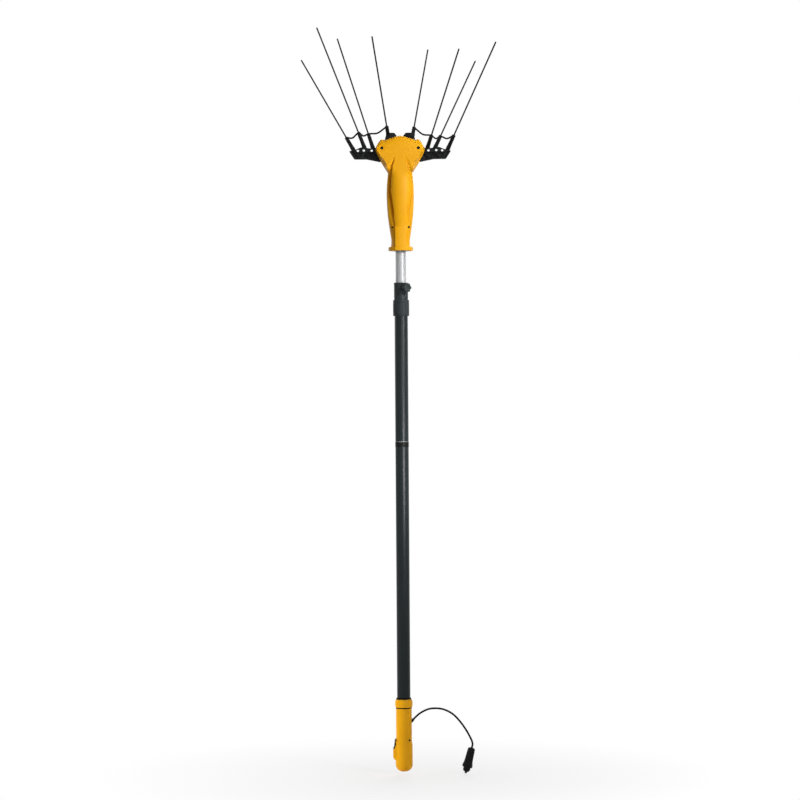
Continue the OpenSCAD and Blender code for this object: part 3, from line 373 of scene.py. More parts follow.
# Finishes: colour and drift, roughness, scale of the grain, strength of the bump, and what departs from plain
ALONG = (1, 1, 0.02)
FINISHES = {
    "yellow_plastic": ((0.86, 0.4, 0.006), (0.8, 0.365, 0.005), 0.42, 1500, 0.22,
                       dict(wear=(0.9, 0.46, 0.03), gloss=0.12)),
    "black_plastic": ((0.004, 0.0043, 0.0045), (0.008, 0.0084, 0.0088), 0.46, 1300, 0.45,
                      dict(wear=(0.03, 0.032, 0.034), gloss=0.08)),
    "charcoal_plastic": ((0.024, 0.03, 0.033), (0.032, 0.039, 0.042), 0.5, 1200, 0.5,
                         dict(wear=(0.08, 0.09, 0.095), gloss=0.1)),
    "rubber": ((0.003, 0.003, 0.003), (0.006, 0.006, 0.006), 0.58, 900, 0.5, dict(gloss=0.07)),
    "charcoal_tube": ((0.008, 0.012, 0.0136), (0.01, 0.0146, 0.0164), 0.3, 1100, 0.25, dict(gloss=0.15)),
    "bare_aluminium": ((0.43, 0.44, 0.45), (0.38, 0.39, 0.4), 0.36, 1800, 0.25,
                       dict(metallic=0.08, stretch=ALONG, spread=0.08)),
    "cast_aluminium": ((0.56, 0.57, 0.58), (0.48, 0.49, 0.5), 0.42, 700, 0.5, dict(metallic=1.0)),
    "steel": ((0.5, 0.5, 0.5), (0.4, 0.4, 0.41), 0.3, 1600, 0.3, dict(metallic=1.0, spread=0.1)),
    "blackened_steel": ((0.014, 0.014, 0.015), (0.022, 0.022, 0.023), 0.4, 1400, 0.3, dict(gloss=0.2)),
    "motor_steel": ((0.2, 0.205, 0.21), (0.15, 0.155, 0.16), 0.38, 1000, 0.3, dict(metallic=0.8)),
    "copper_winding": ((0.5, 0.2, 0.08), (0.36, 0.13, 0.05), 0.35, 900, 0.6,
                       dict(metallic=0.9, stretch=(1, 1, 6))),
    "brass_contact": ((0.7, 0.47, 0.17), (0.6, 0.38, 0.12), 0.28, 1400, 0.25, dict(metallic=1.0)),
    "board_green": ((0.02, 0.13, 0.04), (0.03, 0.17, 0.06), 0.4, 900, 0.4, {}),
    "bush_plastic": ((0.72, 0.72, 0.69), (0.64, 0.64, 0.61), 0.45, 1100, 0.3, {}),
    "tine_composite": ((0.005, 0.005, 0.0055), (0.009, 0.009, 0.0095), 0.4, 1700, 0.4,
                       dict(stretch=ALONG, gloss=0.16)),
    "silver_trim": ((0.19, 0.195, 0.195), (0.16, 0.165, 0.165), 0.4, 1500, 0.2, dict(gloss=0.2)),
}
MATERIALS = {name: finish(name, *row[:-1], **row[-1]) for name, row in FINISHES.items()}

# Every solid that carries over shows the finish of its slot, with a dark pin in the trigger
DARKENED = ("trigger_pin",)
for part in frame["record"]["subparts"]:
    carried = nodes[part["node"]]
    carried.data.materials.clear()
    slot = "blackened_steel" if part["node"] in DARKENED else part["material_slot"]
    carried.data.materials.append(MATERIALS[slot])


# Camera at the place the picture was taken from, looking along +Y
CAMERA_AT = (-0.005, -8.0, 0.958)
CAMERA_LENS = 126.0
CAMERA_ROLL = -0.39
WHITE = (1, 1, 1, 1)
WORLD_LIGHT = 0.13
# Floor in millimetres, its tone, and the span in metres over which it fades to white
FLOOR_Z = -112.0
FLOOR_R = 2600.0
FLOOR_SIDES = 96
FLOOR_TONE = (0.86, 0.86, 0.86, 1)
FLOOR_ROUGH = 0.9
FLOOR_WHITE = 0.7
FLOOR_FADE = (0.15, 0.9)
# Lights in metres: place, aim, width, height, watts, and spread of the beam in degrees
LIGHTS = {
    "key_light": ((2.9, -3.2, 2.8), (0, 0, 1.5), 1.4, 1.4, 15.5, 46),
    "front_light": ((1.6, -8.6, 3.2), (0, 0, 1.6), 1.8, 1.8, 5, 36),
    "tube_light": ((0.93, -1.54, 0.82), (0, 0, 0.82), 0.9, 0.4, 1.8, 34),
    "grip_light": ((-1.8, -0.4, 0.1), (0, 0, 0), 0.6, 0.6, 3.4, 60),
    "side_light": ((-3.2, 2.4, 2.4), (0, 0, 1.2), 1.6, 1.6, 26, 180),
    "back_light": ((0.6, 3.4, 2.6), (0, 0, 1.0), 2.4, 2.4, 70, 180),
}
# Lights that leave no highlight: the fill on the grip would draw a stripe along the tube
PLAIN_LIGHTS = ("grip_light",)

lens = bpy.data.cameras.new("camera")
lens.lens = CAMERA_LENS
camera = placed("camera", lens)
camera.matrix_world = (
    Matrix.Translation(CAMERA_AT) @ Matrix.Rotation(pi / 2, 4, "X")
    @ Matrix.Rotation(radians(CAMERA_ROLL), 4, "Z")
)
bpy.context.scene.camera = camera
bpy.context.scene.view_settings.view_transform = "Standard"


def math_node(operation, first, second):
    """A node that works on two outputs, each given as a node and the output's name."""
    made = add_node(first[0].id_data, "Math")
    made.operation = operation
    wire(*first, made, 0)
    wire(*second, made, 1)
    return made, "Value"


def white_to_the_eye(lit, plain, end, white_share=None):
    """Mixes a lit shader with a plain white one where the camera, a reflection or glass looks at it."""
    path = add_node(lit.id_data, "LightPath")
    seen = (path, "Is Camera Ray")
    for other in ("Is Glossy Ray", "Is Transmission Ray"):
        seen = math_node("MAXIMUM", seen, (path, other))
    if white_share is not None:
        seen = math_node("MULTIPLY", seen, (white_share, "Result"))
    mix = add_node(lit.id_data, "MixShader")
    wire(*seen, mix, "Fac")
    wire(lit, 0, mix, 1)
    wire(plain, 0, mix, 2)
    wire(mix, "Shader", end, "Surface")


def studio_world():
    """A dim even light, white where it is seen."""
    world = bpy.data.worlds.new("studio")
    bpy.context.scene.world = world
    world.use_nodes = True
    tree = world.node_tree
    dim = tree.nodes["Background"]
    dim.inputs["Color"].default_value = WHITE
    dim.inputs["Strength"].default_value = WORLD_LIGHT
    plain = add_node(tree, "Background", Color=WHITE)
    white_to_the_eye(dim, plain, tree.nodes["World Output"])


def studio_floor():
    """A pale round floor that keeps the object's shadow and fades to white."""
    points = [(0, 0, FLOOR_Z)] + [polar(FLOOR_R, a, FLOOR_Z) for a in turns(FLOOR_SIDES)]
    faces = [(0, 1 + k, 1 + (k + 1) % FLOOR_SIDES) for k in range(FLOOR_SIDES)]
    floor = mesh_object("floor", points, faces)
    material = bpy.data.materials.new("floor")
    material.use_nodes = True
    tree = material.node_tree
    shader = tree.nodes["Principled BSDF"]
    shader.inputs["Base Color"].default_value = FLOOR_TONE
    shader.inputs["Roughness"].default_value = FLOOR_ROUGH
    place = add_node(tree, "TexCoord")
    away = add_node(tree, "VectorMath")
    away.operation = "LENGTH"
    wire(place, "Object", away, 0)
    fade = ranged(away, "Value", FLOOR_FADE, FLOOR_WHITE)
    plain = add_node(tree, "Emission", Color=WHITE)
    white_to_the_eye(shader, plain, tree.nodes["Material Output"], fade)
    floor.data.materials.append(material)


def softbox(name, at, aim, wide, high, watts, spread):
    """A soft light with a narrower beam where the spread is below 180 degrees."""
    lamp = bpy.data.lights.new(name, "AREA")
    lamp.shape = "RECTANGLE"
    lamp.size = wide
    lamp.size_y = high
    lamp.energy = watts
    lamp.spread = radians(spread)
    made = placed(name, lamp)
    made.location = at
    made.rotation_euler = (Vector(aim) - Vector(at)).to_track_quat("-Z", "Y").to_euler()
    made.visible_glossy = name not in PLAIN_LIGHTS


studio_world()
studio_floor()
for light_name, light_row in LIGHTS.items():
    softbox(light_name, *light_row)


# Lead in metres: the same route as its solid, from the grommet to the plug, from x and z in millimetres
CORD_ROUTE = [(x / 1000, 0, z / 1000) for x, z in (
    (28, 46.5), (33, 51.5), (40, 58), (48, 64), (57, 69), (66, 73), (75, 75.5), (84, 76.5), (94, 76.5),
    (104, 75.5), (113, 73.5), (122, 70), (131, 65.5), (140, 59.5), (149, 51.5), (157, 42.5), (165, 32.5),
    (173, 21), (180, 10), (186, -1), (191, -11), (194.5, -20), (195.5, -28), (193.5, -36),
)]
CORD_D = 0.0055
CORD_ROUNDNESS = 6
CORD_STEPS = 10
# Plug in millimetres, with outlines of radius and height
PLUG_AT = Vector(CORD_ROUTE[-1]) / MM
PLUG_WAY = Vector(CORD_ROUTE[-1]) - Vector(CORD_ROUTE[-2])
PLUG_LEN = 58.0
NOSE_R = 10.4
NOSE_LEN = 13.0
TIP_R = 3.6
TIP_FOOT = 9.0
TIP_END = 18.0
PLUG_OUTLINE = [
    (0, 0), (4.2, 0), (5.2, 0.5), (7.8, 1.6), (9.8, 3.2), (10.5, 4.8), (10.6, 6.6), (10.1, 7.4), (10.1, 8.8),
    (10.7, 9.6), (11, 16), (11.3, 25), (11.7, 34), (12.2, 41), (13.2, 46), (14.2, 49.6), (14.8, 52.6),
    (14.8, 55.2), (14.4, 56.6), (13.5, 57.6), (12.6, PLUG_LEN), (0, PLUG_LEN),
]
NOSE_OUTLINE = [
    (0, 0), (NOSE_R, 0), (NOSE_R, 5), (10.1, 7.2), (9.3, 9.3), (8, 11.2), (6.4, 12.5), (5.2, NOSE_LEN),
    (TIP_R + FIT, NOSE_LEN), (TIP_R + FIT, TIP_FOOT), (0, TIP_FOOT),
]
TIP_OUTLINE = [
    (0, TIP_FOOT), (TIP_R, TIP_FOOT), (TIP_R, 14.6), (3.3, 15.3), (3.3, 15.7), (3.5, 16.1), (3, 17.1),
    (2.1, 17.8), (1, TIP_END), (0, TIP_END),
]
GROOVES = 10
GROOVE_ROUTE = [(11.7, 0, 13), (11.8, 0, 20), (12.1, 0, 30), (12.9, 0, 41)]
GROOVE_R = 1.4
PLUG_NOTCH = ((12.9, -2.2, 50), (18, 2.2, 54.5))
CONTACT_SLOT = ((NOSE_R - 1, -2.55, 0), (NOSE_R + 4, 2.55, 7))


def power_cord():
    """A round lead on one smooth spline."""
    line = bpy.data.curves.new("power_cord_lead", "CURVE")
    line.dimensions = "3D"
    line.bevel_depth = CORD_D / 2
    line.bevel_resolution = CORD_ROUNDNESS
    line.resolution_u = CORD_STEPS
    line.use_fill_caps = True
    spline = line.splines.new("BEZIER")
    spline.bezier_points.add(len(CORD_ROUTE) - 1)
    for place, point in zip(CORD_ROUTE, spline.bezier_points):
        point.co = place
        point.handle_left_type = "AUTO"
        point.handle_right_type = "AUTO"
    return finish_piece(placed("power_cord_lead", line), "pole", "rubber", "power_cord")


def plug_pieces():
    """The plug's moulded body, its nose with slots for the side contacts, and its tip."""
    body_at = axis_place(PLUG_AT, PLUG_WAY)
    nose_at = body_at @ Matrix.Translation((0, 0, PLUG_LEN))
    body = lathe("plug_body_moulded", PLUG_OUTLINE, 64, body_at)
    cutters = [
        moved(sweep("groove", GROOVE_ROUTE, GROOVE_R, 10), body_at @ Matrix.Rotation(turn, 4, "Z"))
        for turn in turns(GROOVES)
    ]
    cut(body, cutters + [box("notch", *PLUG_NOTCH, body_at)])
    nose = lathe("plug_nose_moulded", NOSE_OUTLINE, 64, nose_at)
    cutters = [box("slot", *CONTACT_SLOT, nose_at @ Matrix.Rotation(turn, 4, "Z")) for turn in (0, pi)]
    cut(nose, cutters)
    tip = lathe("plug_tip_turned", TIP_OUTLINE, 40, nose_at)
    finish_piece(body, "pole", "black_plastic", "plug_body")
    finish_piece(nose, "pole", "black_plastic", "plug_nose")
    finish_piece(tip, "pole", "blackened_steel", "plug_tip")
    return [body, nose, tip]


lead = power_cord()
plug = plug_pieces()


# Head shells: rows of height, half width and half depth as shares, and roundness, as in the solids
HEAD_HALF_W = 70.0
HEAD_HALF_D = 39.0
HEAD_WALL = 2.5
APEX_RISE = 12.0
HEAD_KEYS = [
    (0.1, 0.38, 0.682, 2), (0.189, 0.443, 0.795, 2), (0.258, 0.487, 0.87, 2),
    (0.324, 0.523, 0.93, 2.05), (0.412, 0.549, 0.975, 2.1), (0.503, 0.56, 1, 2.15),
    (0.594, 0.547, 0.99, 2.2), (0.664, 0.517, 0.975, 2.3), (0.698, 0.51, 0.97, 2.4),
    (0.73, 0.586, 0.965, 2.6), (0.774, 0.707, 0.96, 2.9), (0.821, 0.834, 0.955, 3.2),
    (0.859, 0.93, 0.95, 3.2), (0.884, 0.986, 0.94, 3.2), (0.906, 1, 0.93, 3.2),
    (0.937, 0.97, 0.91, 3.2), (0.962, 0.915, 0.87, 3.2), (0.978, 0.87, 0.8, 3.2),
    (0.987, 0.845, 0.7, 3.2), (0.994, 0.83, 0.5, 3.2), (1, 0.825, 0, 3.2),
]
FLANGE_ROWS = [
    (0, 0.49, 0.885, 2), (0.003, 0.5, 0.897, 2), (0.028, 0.5, 0.897, 2), (0.033, 0.485, 0.87, 2),
    (0.037, 0.43, 0.77, 2), (0.043, 0.396, 0.71, 2), (0.06, 0.384, 0.69, 2), (0.08, 0.38, 0.682, 2),
]
# The row of the flange up to which the lining keeps one width
FLANGE_NECK = FLANGE_ROWS[5]
# Steps between rows, and the share of the height above which they are closer
ROW_STEP = 0.0065
TOP_SHARE = 0.96
TOP_STEP = 0.0028
# Start and length, as shares of the height, of the rise to the apex and of the lid's thickness
APEX_RAMP = (0.8, 0.2)
LID_RAMP = (0.9, 0.06)
EDGE_SHARES = [(0, 1), (0.15, 0.86), (0.45, 0.41), (0.75, -0.04), (0.82, 0.05), (0.9, 0.17), (1, 0)]
# Front panel in millimetres: height, half width to the crease, width and depth of the crease,
# and the least depth of the panel
PANEL_KEYS = [
    (1384, 16.5, 1, 0, 34.6), (1396, 16.5, 1, 0, 34.6), (1416, 16.2, 1.2, 0, 33.4),
    (1444, 16.6, 1.6, 1.5, 32.6), (1456, 18.4, 2.6, 4, 30), (1466, 20, 3.6, 6, 20),
    (1496, 23.9, 5.4, 8, 0), (1521, 28.3, 6.4, 7, 0), (1544, 32, 7, 5.5, 0),
    (1566, 32.9, 7.2, 5, 0), (1598, 29.9, 6.4, 6, 0), (1625, 25, 4.4, 5, 0),
    (1641, 18.6, 2.4, 2, 0), (1650, 15, 1.6, 0, 0), (1720, 12, 1.6, 0, 0),
]
# Side strips beside the panel: height in millimetres, and how far they follow the foot of the crease
STRIP_KEYS = [
    (1384, 0), (1440, 0), (1456, 0.5), (1470, 1), (1596, 1), (1606, 0.6), (1619, 0), (1720, 0),
]
STRIP_ROUNDNESS = 3.0
STRIP_RECOVERY = 9.0
# The crease is a deep step with a channel at its foot on the left, and a plain lower step on the right
CREASE_SHARE = {-1: 1.0, 1: 0.55}
CREASE_CUT = {-1: 6.5, 1: 0.0}
CREASE_CUT_START = 5.0
# Least distance of the crease from the pole's axis, which keeps the lining clear of the motor
CREASE_CLEAR_R = 28.4
CREASE_WALL_SHARE = 0.3
# Wings: height in millimetres, share of the half width where the front face ends, and how sharp that edge is
WING_KEYS = [
    (1384, 0.9, 0), (1590, 0.9, 0), (1606, 0.9, 0.6), (1619, 0.88, 1), (1634, 0.79, 1),
    (1650, 0.87, 1), (1660, 0.92, 1), (1674, 0.95, 0.8), (1690, 0.95, 0.3), (1700, 0.95, 0),
    (1720, 0.95, 0),
]
WING_FOOT_SHARE = 0.38
WING_THINNING = 1.5
WING_CROWN_SHARE = 0.04
WING_GAP_SHARE = 0.03
FACE_COLUMNS = 14
PANEL_CROWN = 120.0
PANEL_MOST_SHARE = 0.88
CREASE_LIP = 0.5
PANEL_COLUMNS = 14
CREASE_COLUMNS = 7
SIDE_COLUMNS = 16
SEAM_INSET = 0.45
SEAM_W = 0.7
SEAM_SHARE = 0.9999
HEAD_SMOOTH = 28
COMB_SLOT = ((-90, -12.5, 1609.78), (90, 12.5, 1800))
# Screws: x, z, radius and span of the boss, radius of the recess over it, and distance of the seat
EAR_SCREW = (PIVOT_X, PIVOT_Z, 6.4, (20.8, 32), 4.45, 27)
LOW_SCREW = (23.5, 1450.6, 4.6, (0.05, 14), 3.25, 10)
BOSS_BORE_R = 1.65


def head_rows():
    """Shares of every row of the shells, close together where the form turns."""
    rows = list(FLANGE_ROWS)
    share = HEAD_KEYS[0][0]
    while share < 1.0:
        rows.append((share, *smooth_row(HEAD_KEYS, share)))
        share += ROW_STEP if share < TOP_SHARE else TOP_STEP
    return rows + [HEAD_KEYS[-1]]


def half_columns(half_w, roundness, inner, outer, edge):
    """Places across one half of a row, from the middle to the seam, as shares of its half width."""
    start = (outer + CREASE_LIP) / half_w
    edge = max(edge, start + WING_GAP_SHARE)
    turn = asin(edge ** (roundness / 2))
    spots = [inner * k / PANEL_COLUMNS / half_w for k in range(PANEL_COLUMNS)]
    spots += [(inner + (outer - inner) * k / CREASE_COLUMNS) / half_w for k in range(CREASE_COLUMNS + 1)]
    spots += [start + (edge - start) * k / FACE_COLUMNS for k in range(FACE_COLUMNS)]
    steps = [turn + (pi / 2 - turn) * k / SIDE_COLUMNS for k in range(SIDE_COLUMNS + 1)]
    return spots + [sin(step) ** (2 / roundness) for step in steps]


def head_row(row, lining):
    """Points of one row of the front shell, from the left seam round the front to the right seam."""
    share, wide, deep, roundness = row
    level = HEAD_FOOT + HEAD_H * share
    edge, sharp = smooth_row(WING_KEYS, level)
    wall = HEAD_WALL - WING_THINNING * sharp if lining else 0.0
    if lining and share < FLANGE_NECK[0]:
        wide, deep = FLANGE_NECK[1:3]
    half_w = wide * HEAD_HALF_W - wall
    half_d = max(deep * HEAD_HALF_D - wall, 0.0)
    line, crease_w, crease_d, least = smooth_row(PANEL_KEYS, level)
    outer = min(line, half_w * PANEL_MOST_SHARE)
    inner = outer - crease_w
    strip = smooth_row(STRIP_KEYS, level)[0]
    shoulder = half_d * (1 - (outer / half_w) ** roundness) ** (1 / roundness)
    spots = half_columns(half_w, roundness, inner, outer, edge)
    lid = min(1.0, max(0.0, (share - LID_RAMP[0]) / LID_RAMP[1]))
    high = max(0.0, (share - APEX_RAMP[0]) / APEX_RAMP[1])
    points = []
    for side, order in ((-1, reversed(spots)), (1, spots[1:])):
        sunk = max(0.0, crease_d) * CREASE_SHARE[side]
        cut_d = CREASE_CUT[side] * min(1.0, sunk / CREASE_CUT_START)
        foot = shoulder - sunk
        for u in order:
            y = half_d * max(0.0, 1 - u ** roundness) ** (1 / roundness)
            if u < SEAM_SHARE:
                flat = 1 - WING_CROWN_SHARE * (u / edge) ** 2
                slant = (flat - WING_FOOT_SHARE) * max(0.0, u - edge) / (1 - edge)
                y += (half_d * (flat - slant) - y) * sharp
            x = u * half_w
            if x < outer + CREASE_LIP / 2:
                raised = y if lining else max(y, least - x * x / PANEL_CROWN)
                sink = max(0.0, (x - inner) / (crease_w * CREASE_WALL_SHARE))
                floor = max(y - sunk - cut_d, sqrt(max(0.0, (CREASE_CLEAR_R - wall) ** 2 - x * x)))
                y = raised + (min(floor, raised) - raised) * min(1.0, sink)
            elif u < SEAM_SHARE:
                out = (x - outer) / (half_w - outer)
                level_strip = foot * (1 - out ** STRIP_ROUNDNESS) ** (1 / STRIP_ROUNDNESS)
                y -= sunk * max(0.0, 1 - (x - outer) / STRIP_RECOVERY) ** 2
                y += (level_strip - y) * strip
            if not lining and y < SEAM_W:
                x -= SEAM_INSET * (1 - y / SEAM_W)
            z = level + APEX_RISE * high * smooth_row(EDGE_SHARES, u)[0] - wall * lid
            points.append((side * x, -y, z))
    return points


def screw_boss(origin, way, radius, span, recess_r, seat):
    """A round boss inside a shell, with the seat of a screw's head."""
    low, high = span
    outline = [(BOSS_BORE_R, low), (radius, low), (radius, high), (recess_r, high), (recess_r, seat),
               (BOSS_BORE_R, seat)]
    return lathe("boss", outline, 48, axis_place(origin, way))


def head_shell(name, node, flip):
    """A hollow half of the head with its comb slot and its screw recesses."""
    rows = head_rows()
    points = [point for lining in (False, True) for row in rows for point in head_row(row, lining)]
    count = len(points) // 2
    columns = count // len(rows)
    faces = grid_faces(len(rows), columns)
    faces += [tuple(count + k for k in reversed(face)) for face in faces]
    for i in range(len(rows) - 1):
        for j in (0, columns - 1):
            a, b = i * columns + j, (i + 1) * columns + j
            faces.append((a, b, count + b, count + a))
    for j in range(columns - 1):
        for i in (0, len(rows) - 1):
            a = i * columns + j
            faces.append((a, a + 1, count + a + 1, count + a))
    if flip:
        points = [(x, -y, z) for x, y, z in points]
    shell = mesh_object(name, points, faces, HEAD_SMOOTH)
    out = 1 if flip else -1
    way = (0, out, 0)
    cutters = [box("slot", *COMB_SLOT)]
    bosses = []
    for side in SIDES:
        for x, z, radius, span, recess_r, seat in (EAR_SCREW, LOW_SCREW):
            bosses.append(screw_boss((side * x, 0, z), way, radius, span, recess_r, seat))
            cutters.append(rod("recess", (side * x, out * seat, z), way, recess_r, CUT_LEN))
    cut(shell, cutters)
    joined(shell, bosses)
    return finish_piece(shell, "mast", "yellow_plastic", node)


head_shell("head_front_moulding", "head_front_shell", False)
head_shell("head_rear_moulding", "head_rear_shell", True)


# Hand grip: a round body with a swollen heel and a trigger guard that stands out to the left
HEEL_R = 24.3
HEEL_ROUND = 20.0
HEEL_TOP = -28.8
HEEL_END = -12.4
GROOVE_Z = 77.0
LEDGE_Z = 48.55
TUBE_FOOT = 52.0
LEDGE_R = 17.5
GUARD_HALF = 13.0
GUARD_KEYS = [
    (-80, 10), (-75, 17), (-72, 22), (-69, 26.6), (-66, 29.6), (-62, 31.1), (-54, 31.5), (-44, 31.6),
    (-40, 31.5), (-30, 29.4), (-20, 27.3), (-14, 25.4), (-10, 23), (-6, 18), (-1, 10),
]
GUARD_POWER = 5
GUARD_FILLET = 3.0
TRIGGER_SLOT = ((-40, -9.55, -40.2), (-16.2, 9.55, -8.7))
TRIGGER_NOTCH = [(-42, -11.6), (-25.4, -13.2), (-22.4, -23.5), (-27.8, -37.6), (-42, -38.4)]
NOTCH_HALF = 30
GRIP_SCREWS = [(15.98, -12.98, -1), (-13.95, 31.93, 1), (2.25, -88.58, 1)]
GRIP_RECESS_R = 3.15
GRIP_SEAT_Y = 8.0
EXIT_AT = (22.5, 0, 41)
EXIT_WAY = (1, 0, 1)
EXIT_LEN = 44
GROMMET_R = 4.5
GRIP_SEAM = 0.4
SEAM_TURN = 0.02
GRIP_COLUMNS = 56
# Rows of the grip: degrees of those on the heel, and steps below and above zero
HEEL_TURNS = range(0, 90, 6)
LOW_STEP = 1.4
HIGH_STEP = 4.5
# Outlines of radius and height: the grip's top from the groove to the ledge, the rings and the grommet
TOP_OUTLINE = [
    (GRIP_R - 0.5, GROOVE_Z), (SPIGOT_R, GROOVE_Z), (SPIGOT_R, SPIGOT_TOP - 0.6),
    (SPIGOT_R - 0.6, SPIGOT_TOP), (BORE_R, SPIGOT_TOP), (BORE_R, TUBE_FOOT), (LEDGE_R, TUBE_FOOT),
    (LEDGE_R, LEDGE_Z), (BORE_R, LEDGE_Z),
]
# Rings: name, slot, radius of the corners, outline, and the node that a ring stands for
RINGS = [
    ("grip_collar_ring", "yellow_plastic", 0.9, [
        (SPIGOT_R + FIT, GRIP_TOP), (23.4, GRIP_TOP), (24.6, 83.2), (25.15, 88), (25.2, 91), (25.0, 94),
        (24.2, 98.4), (22.9, 102.2), (22.4, 103), (SPIGOT_R + FIT, 103),
    ], "handle_collar"),
    ("grip_gasket_ring", "rubber", 0.6, [
        (BORE_R, 96.2), (SPIGOT_R, 96.2), (SPIGOT_R, 105), (20.9, 107), (19.8, 108), (BORE_R, 108),
    ], "handle_gasket"),
    # A black ring in the groove under the collar that stands for no solid: painted shade where the groove's
    # shadow falls
    ("grip_collar_seal", "rubber", 0.5, [
        (SPIGOT_R + FIT, GROOVE_Z + FIT), (22.6, GROOVE_Z + FIT), (22.9, GROOVE_Z + 1.5),
        (22.6, GRIP_TOP - FIT), (SPIGOT_R + FIT, GRIP_TOP - FIT),
    ]),
]
GROMMET_OUTLINE = [
    (0, -14), (5.3, -14), (5.5, -13.7), (5.5, -11.8), (5.3, -11.5), (GROMMET_R, -11.5), (GROMMET_R, 1.4),
    (4, 1.8), (4, 2.6), (4.3, 3), (4.15, 4), (3.65, 4.4), (3.65, 5.2), (3.95, 5.6), (3.7, 6.7),
    (3.3, 7.4), (3, 7.78), (0, 7.78),
]
# Trigger: its hub, the outline of its lever in x and z, and the ribs across its face
TRIGGER_AXIS = (-21.5, -14.008)
TRIGGER_HUB_R = 5
TRIGGER_HUB_SIDES = 24
TRIGGER_ROUND = 1.2
TRIGGER_EDGE = 1.4
TRIGGER_HALF = 8.95
TRIGGER_LEVER = [
    (-27.2, -17), (-27.4, -22), (-28, -28), (-29.4, -33.5), (-31.3, -37.2), (-30.6, -38.3), (-28.5, -38),
    (-18, -34.9), (-16.6, -16),
]
TRIGGER_FACE = [(-38, 31.2), (-33.5, 29.4), (-28, 28), (-22, 27.4), (-17, 27.2)]
RIBS_Z = [-19.5 - 3.4 * k for k in range(5)]
RIB_R = 1.0
RIB_OUT = 0.75
RIB_HALF = 6.5
FORK_R = 5.3
FORK_HALF = 4
PIN_BORE_R = 2.05


def grip_radius(z, swell):
    """Radius of the grip's round body at a height, outside or, with a negative swell, inside it."""
    heel = HEEL_R + swell
    middle = GRIP_FOOT + HEEL_ROUND
    if z < middle:
        bend = HEEL_ROUND + swell
        return heel - bend + sqrt(max(0.0, bend ** 2 - (z - middle) ** 2))
    return heel + (GRIP_R - HEEL_R) * ease(HEEL_TOP, HEEL_END, z)


def guard_radius(z, a, swell):
    """Radius of the guard's rounded block in a direction round the pole."""
    if not GUARD_KEYS[0][0] < z < GUARD_KEYS[-1][0]:
        return 0.0
    out = smooth_row(GUARD_KEYS, z)[0] + swell
    towards = max(0.0, -cos(a)) / out
    across = abs(sin(a)) / (GUARD_HALF + swell)
    if towards <= 0:
        return 0.0
    return (towards ** GUARD_POWER + across ** GUARD_POWER) ** (-1 / GUARD_POWER)


def grip_surface(z, a, swell=0.0):
    """Radius of the grip in a direction, with the guard blended into the body."""
    plain = grip_radius(z, swell)
    guard = guard_radius(z, a, swell)
    near = max(0.0, GUARD_FILLET - abs(plain - guard))
    return max(plain, guard) + near ** 2 / (4 * GUARD_FILLET)


def grip_levels():
    """Heights of the rows outside, from the heel up to the groove under the collar."""
    rows = [GRIP_FOOT + HEEL_ROUND * (1 - cos(radians(a))) for a in HEEL_TURNS]
    while rows[-1] < GROOVE_Z - 3:
        rows.append(rows[-1] + (LOW_STEP if rows[-1] < 0 else HIGH_STEP))
    return [r for r in rows if r < GROOVE_Z - 1] + [GROOVE_Z - 0.5]


def grip_half(name, node, out):
    """One half of the grip: a hollow shell, a spigot in the collar, a ledge for the tube and its openings."""
    ways = [pi * k / GRIP_COLUMNS for k in range(1, GRIP_COLUMNS)]
    ways = [0.0, SEAM_TURN] + ways + [pi - SEAM_TURN, pi]
    count = len(ways)
    rows = [[(0.0, GRIP_FOOT)] * count]
    for z in grip_levels():
        row = [(grip_surface(z, a), z) for a in ways]
        if z > GRIP_FOOT + 1:
            for end in (0, -1):
                row[end] = (row[end][0] - GRIP_SEAM, z)
        rows.append(row)
    rows += [[point] * count for point in TOP_OUTLINE]
    for z in reversed([z for z in grip_levels() if z < LEDGE_Z - 4]):
        lower = max(z, GRIP_FOOT + GRIP_WALL)
        rows.append([(grip_surface(lower, a, -GRIP_WALL), lower) for a in ways])
    rows.append([(0.0, GRIP_FOOT + GRIP_WALL)] * count)
    points = [polar(r, out * a, z) for row in rows for a, (r, z) in zip(ways, row)]
    shell = mesh_object(name, points, grid_faces(len(rows), count), SMOOTH_MOULDED)
    close_seams(shell)
    exit_foot = Vector(EXIT_AT) - EXIT_LEN / 2 * Vector(EXIT_WAY).normalized()
    cutters = [
        box("slot", *TRIGGER_SLOT), plate("notch", TRIGGER_NOTCH, -NOTCH_HALF, NOTCH_HALF),
        rod("exit", exit_foot, EXIT_WAY, GROMMET_R + FIT, EXIT_LEN),
    ]
    for x, z, side in GRIP_SCREWS:
        if side == out:
            cutters.append(rod("recess", (x, out * GRIP_SEAT_Y, z), (0, out, 0), GRIP_RECESS_R, CUT_LEN))
    cut(shell, cutters)
    finish_piece(shell, "pole", "yellow_plastic", node)


def close_seams(shell):
    """Fills the open rims of a half shell."""
    work = bmesh.new()
    work.from_mesh(shell.data)
    rims = [e for e in work.edges if e.is_boundary]
    bmesh.ops.triangle_fill(work, edges=rims, use_beauty=True)
    work.to_mesh(shell.data)
    work.free()
    tidy_mesh(shell)


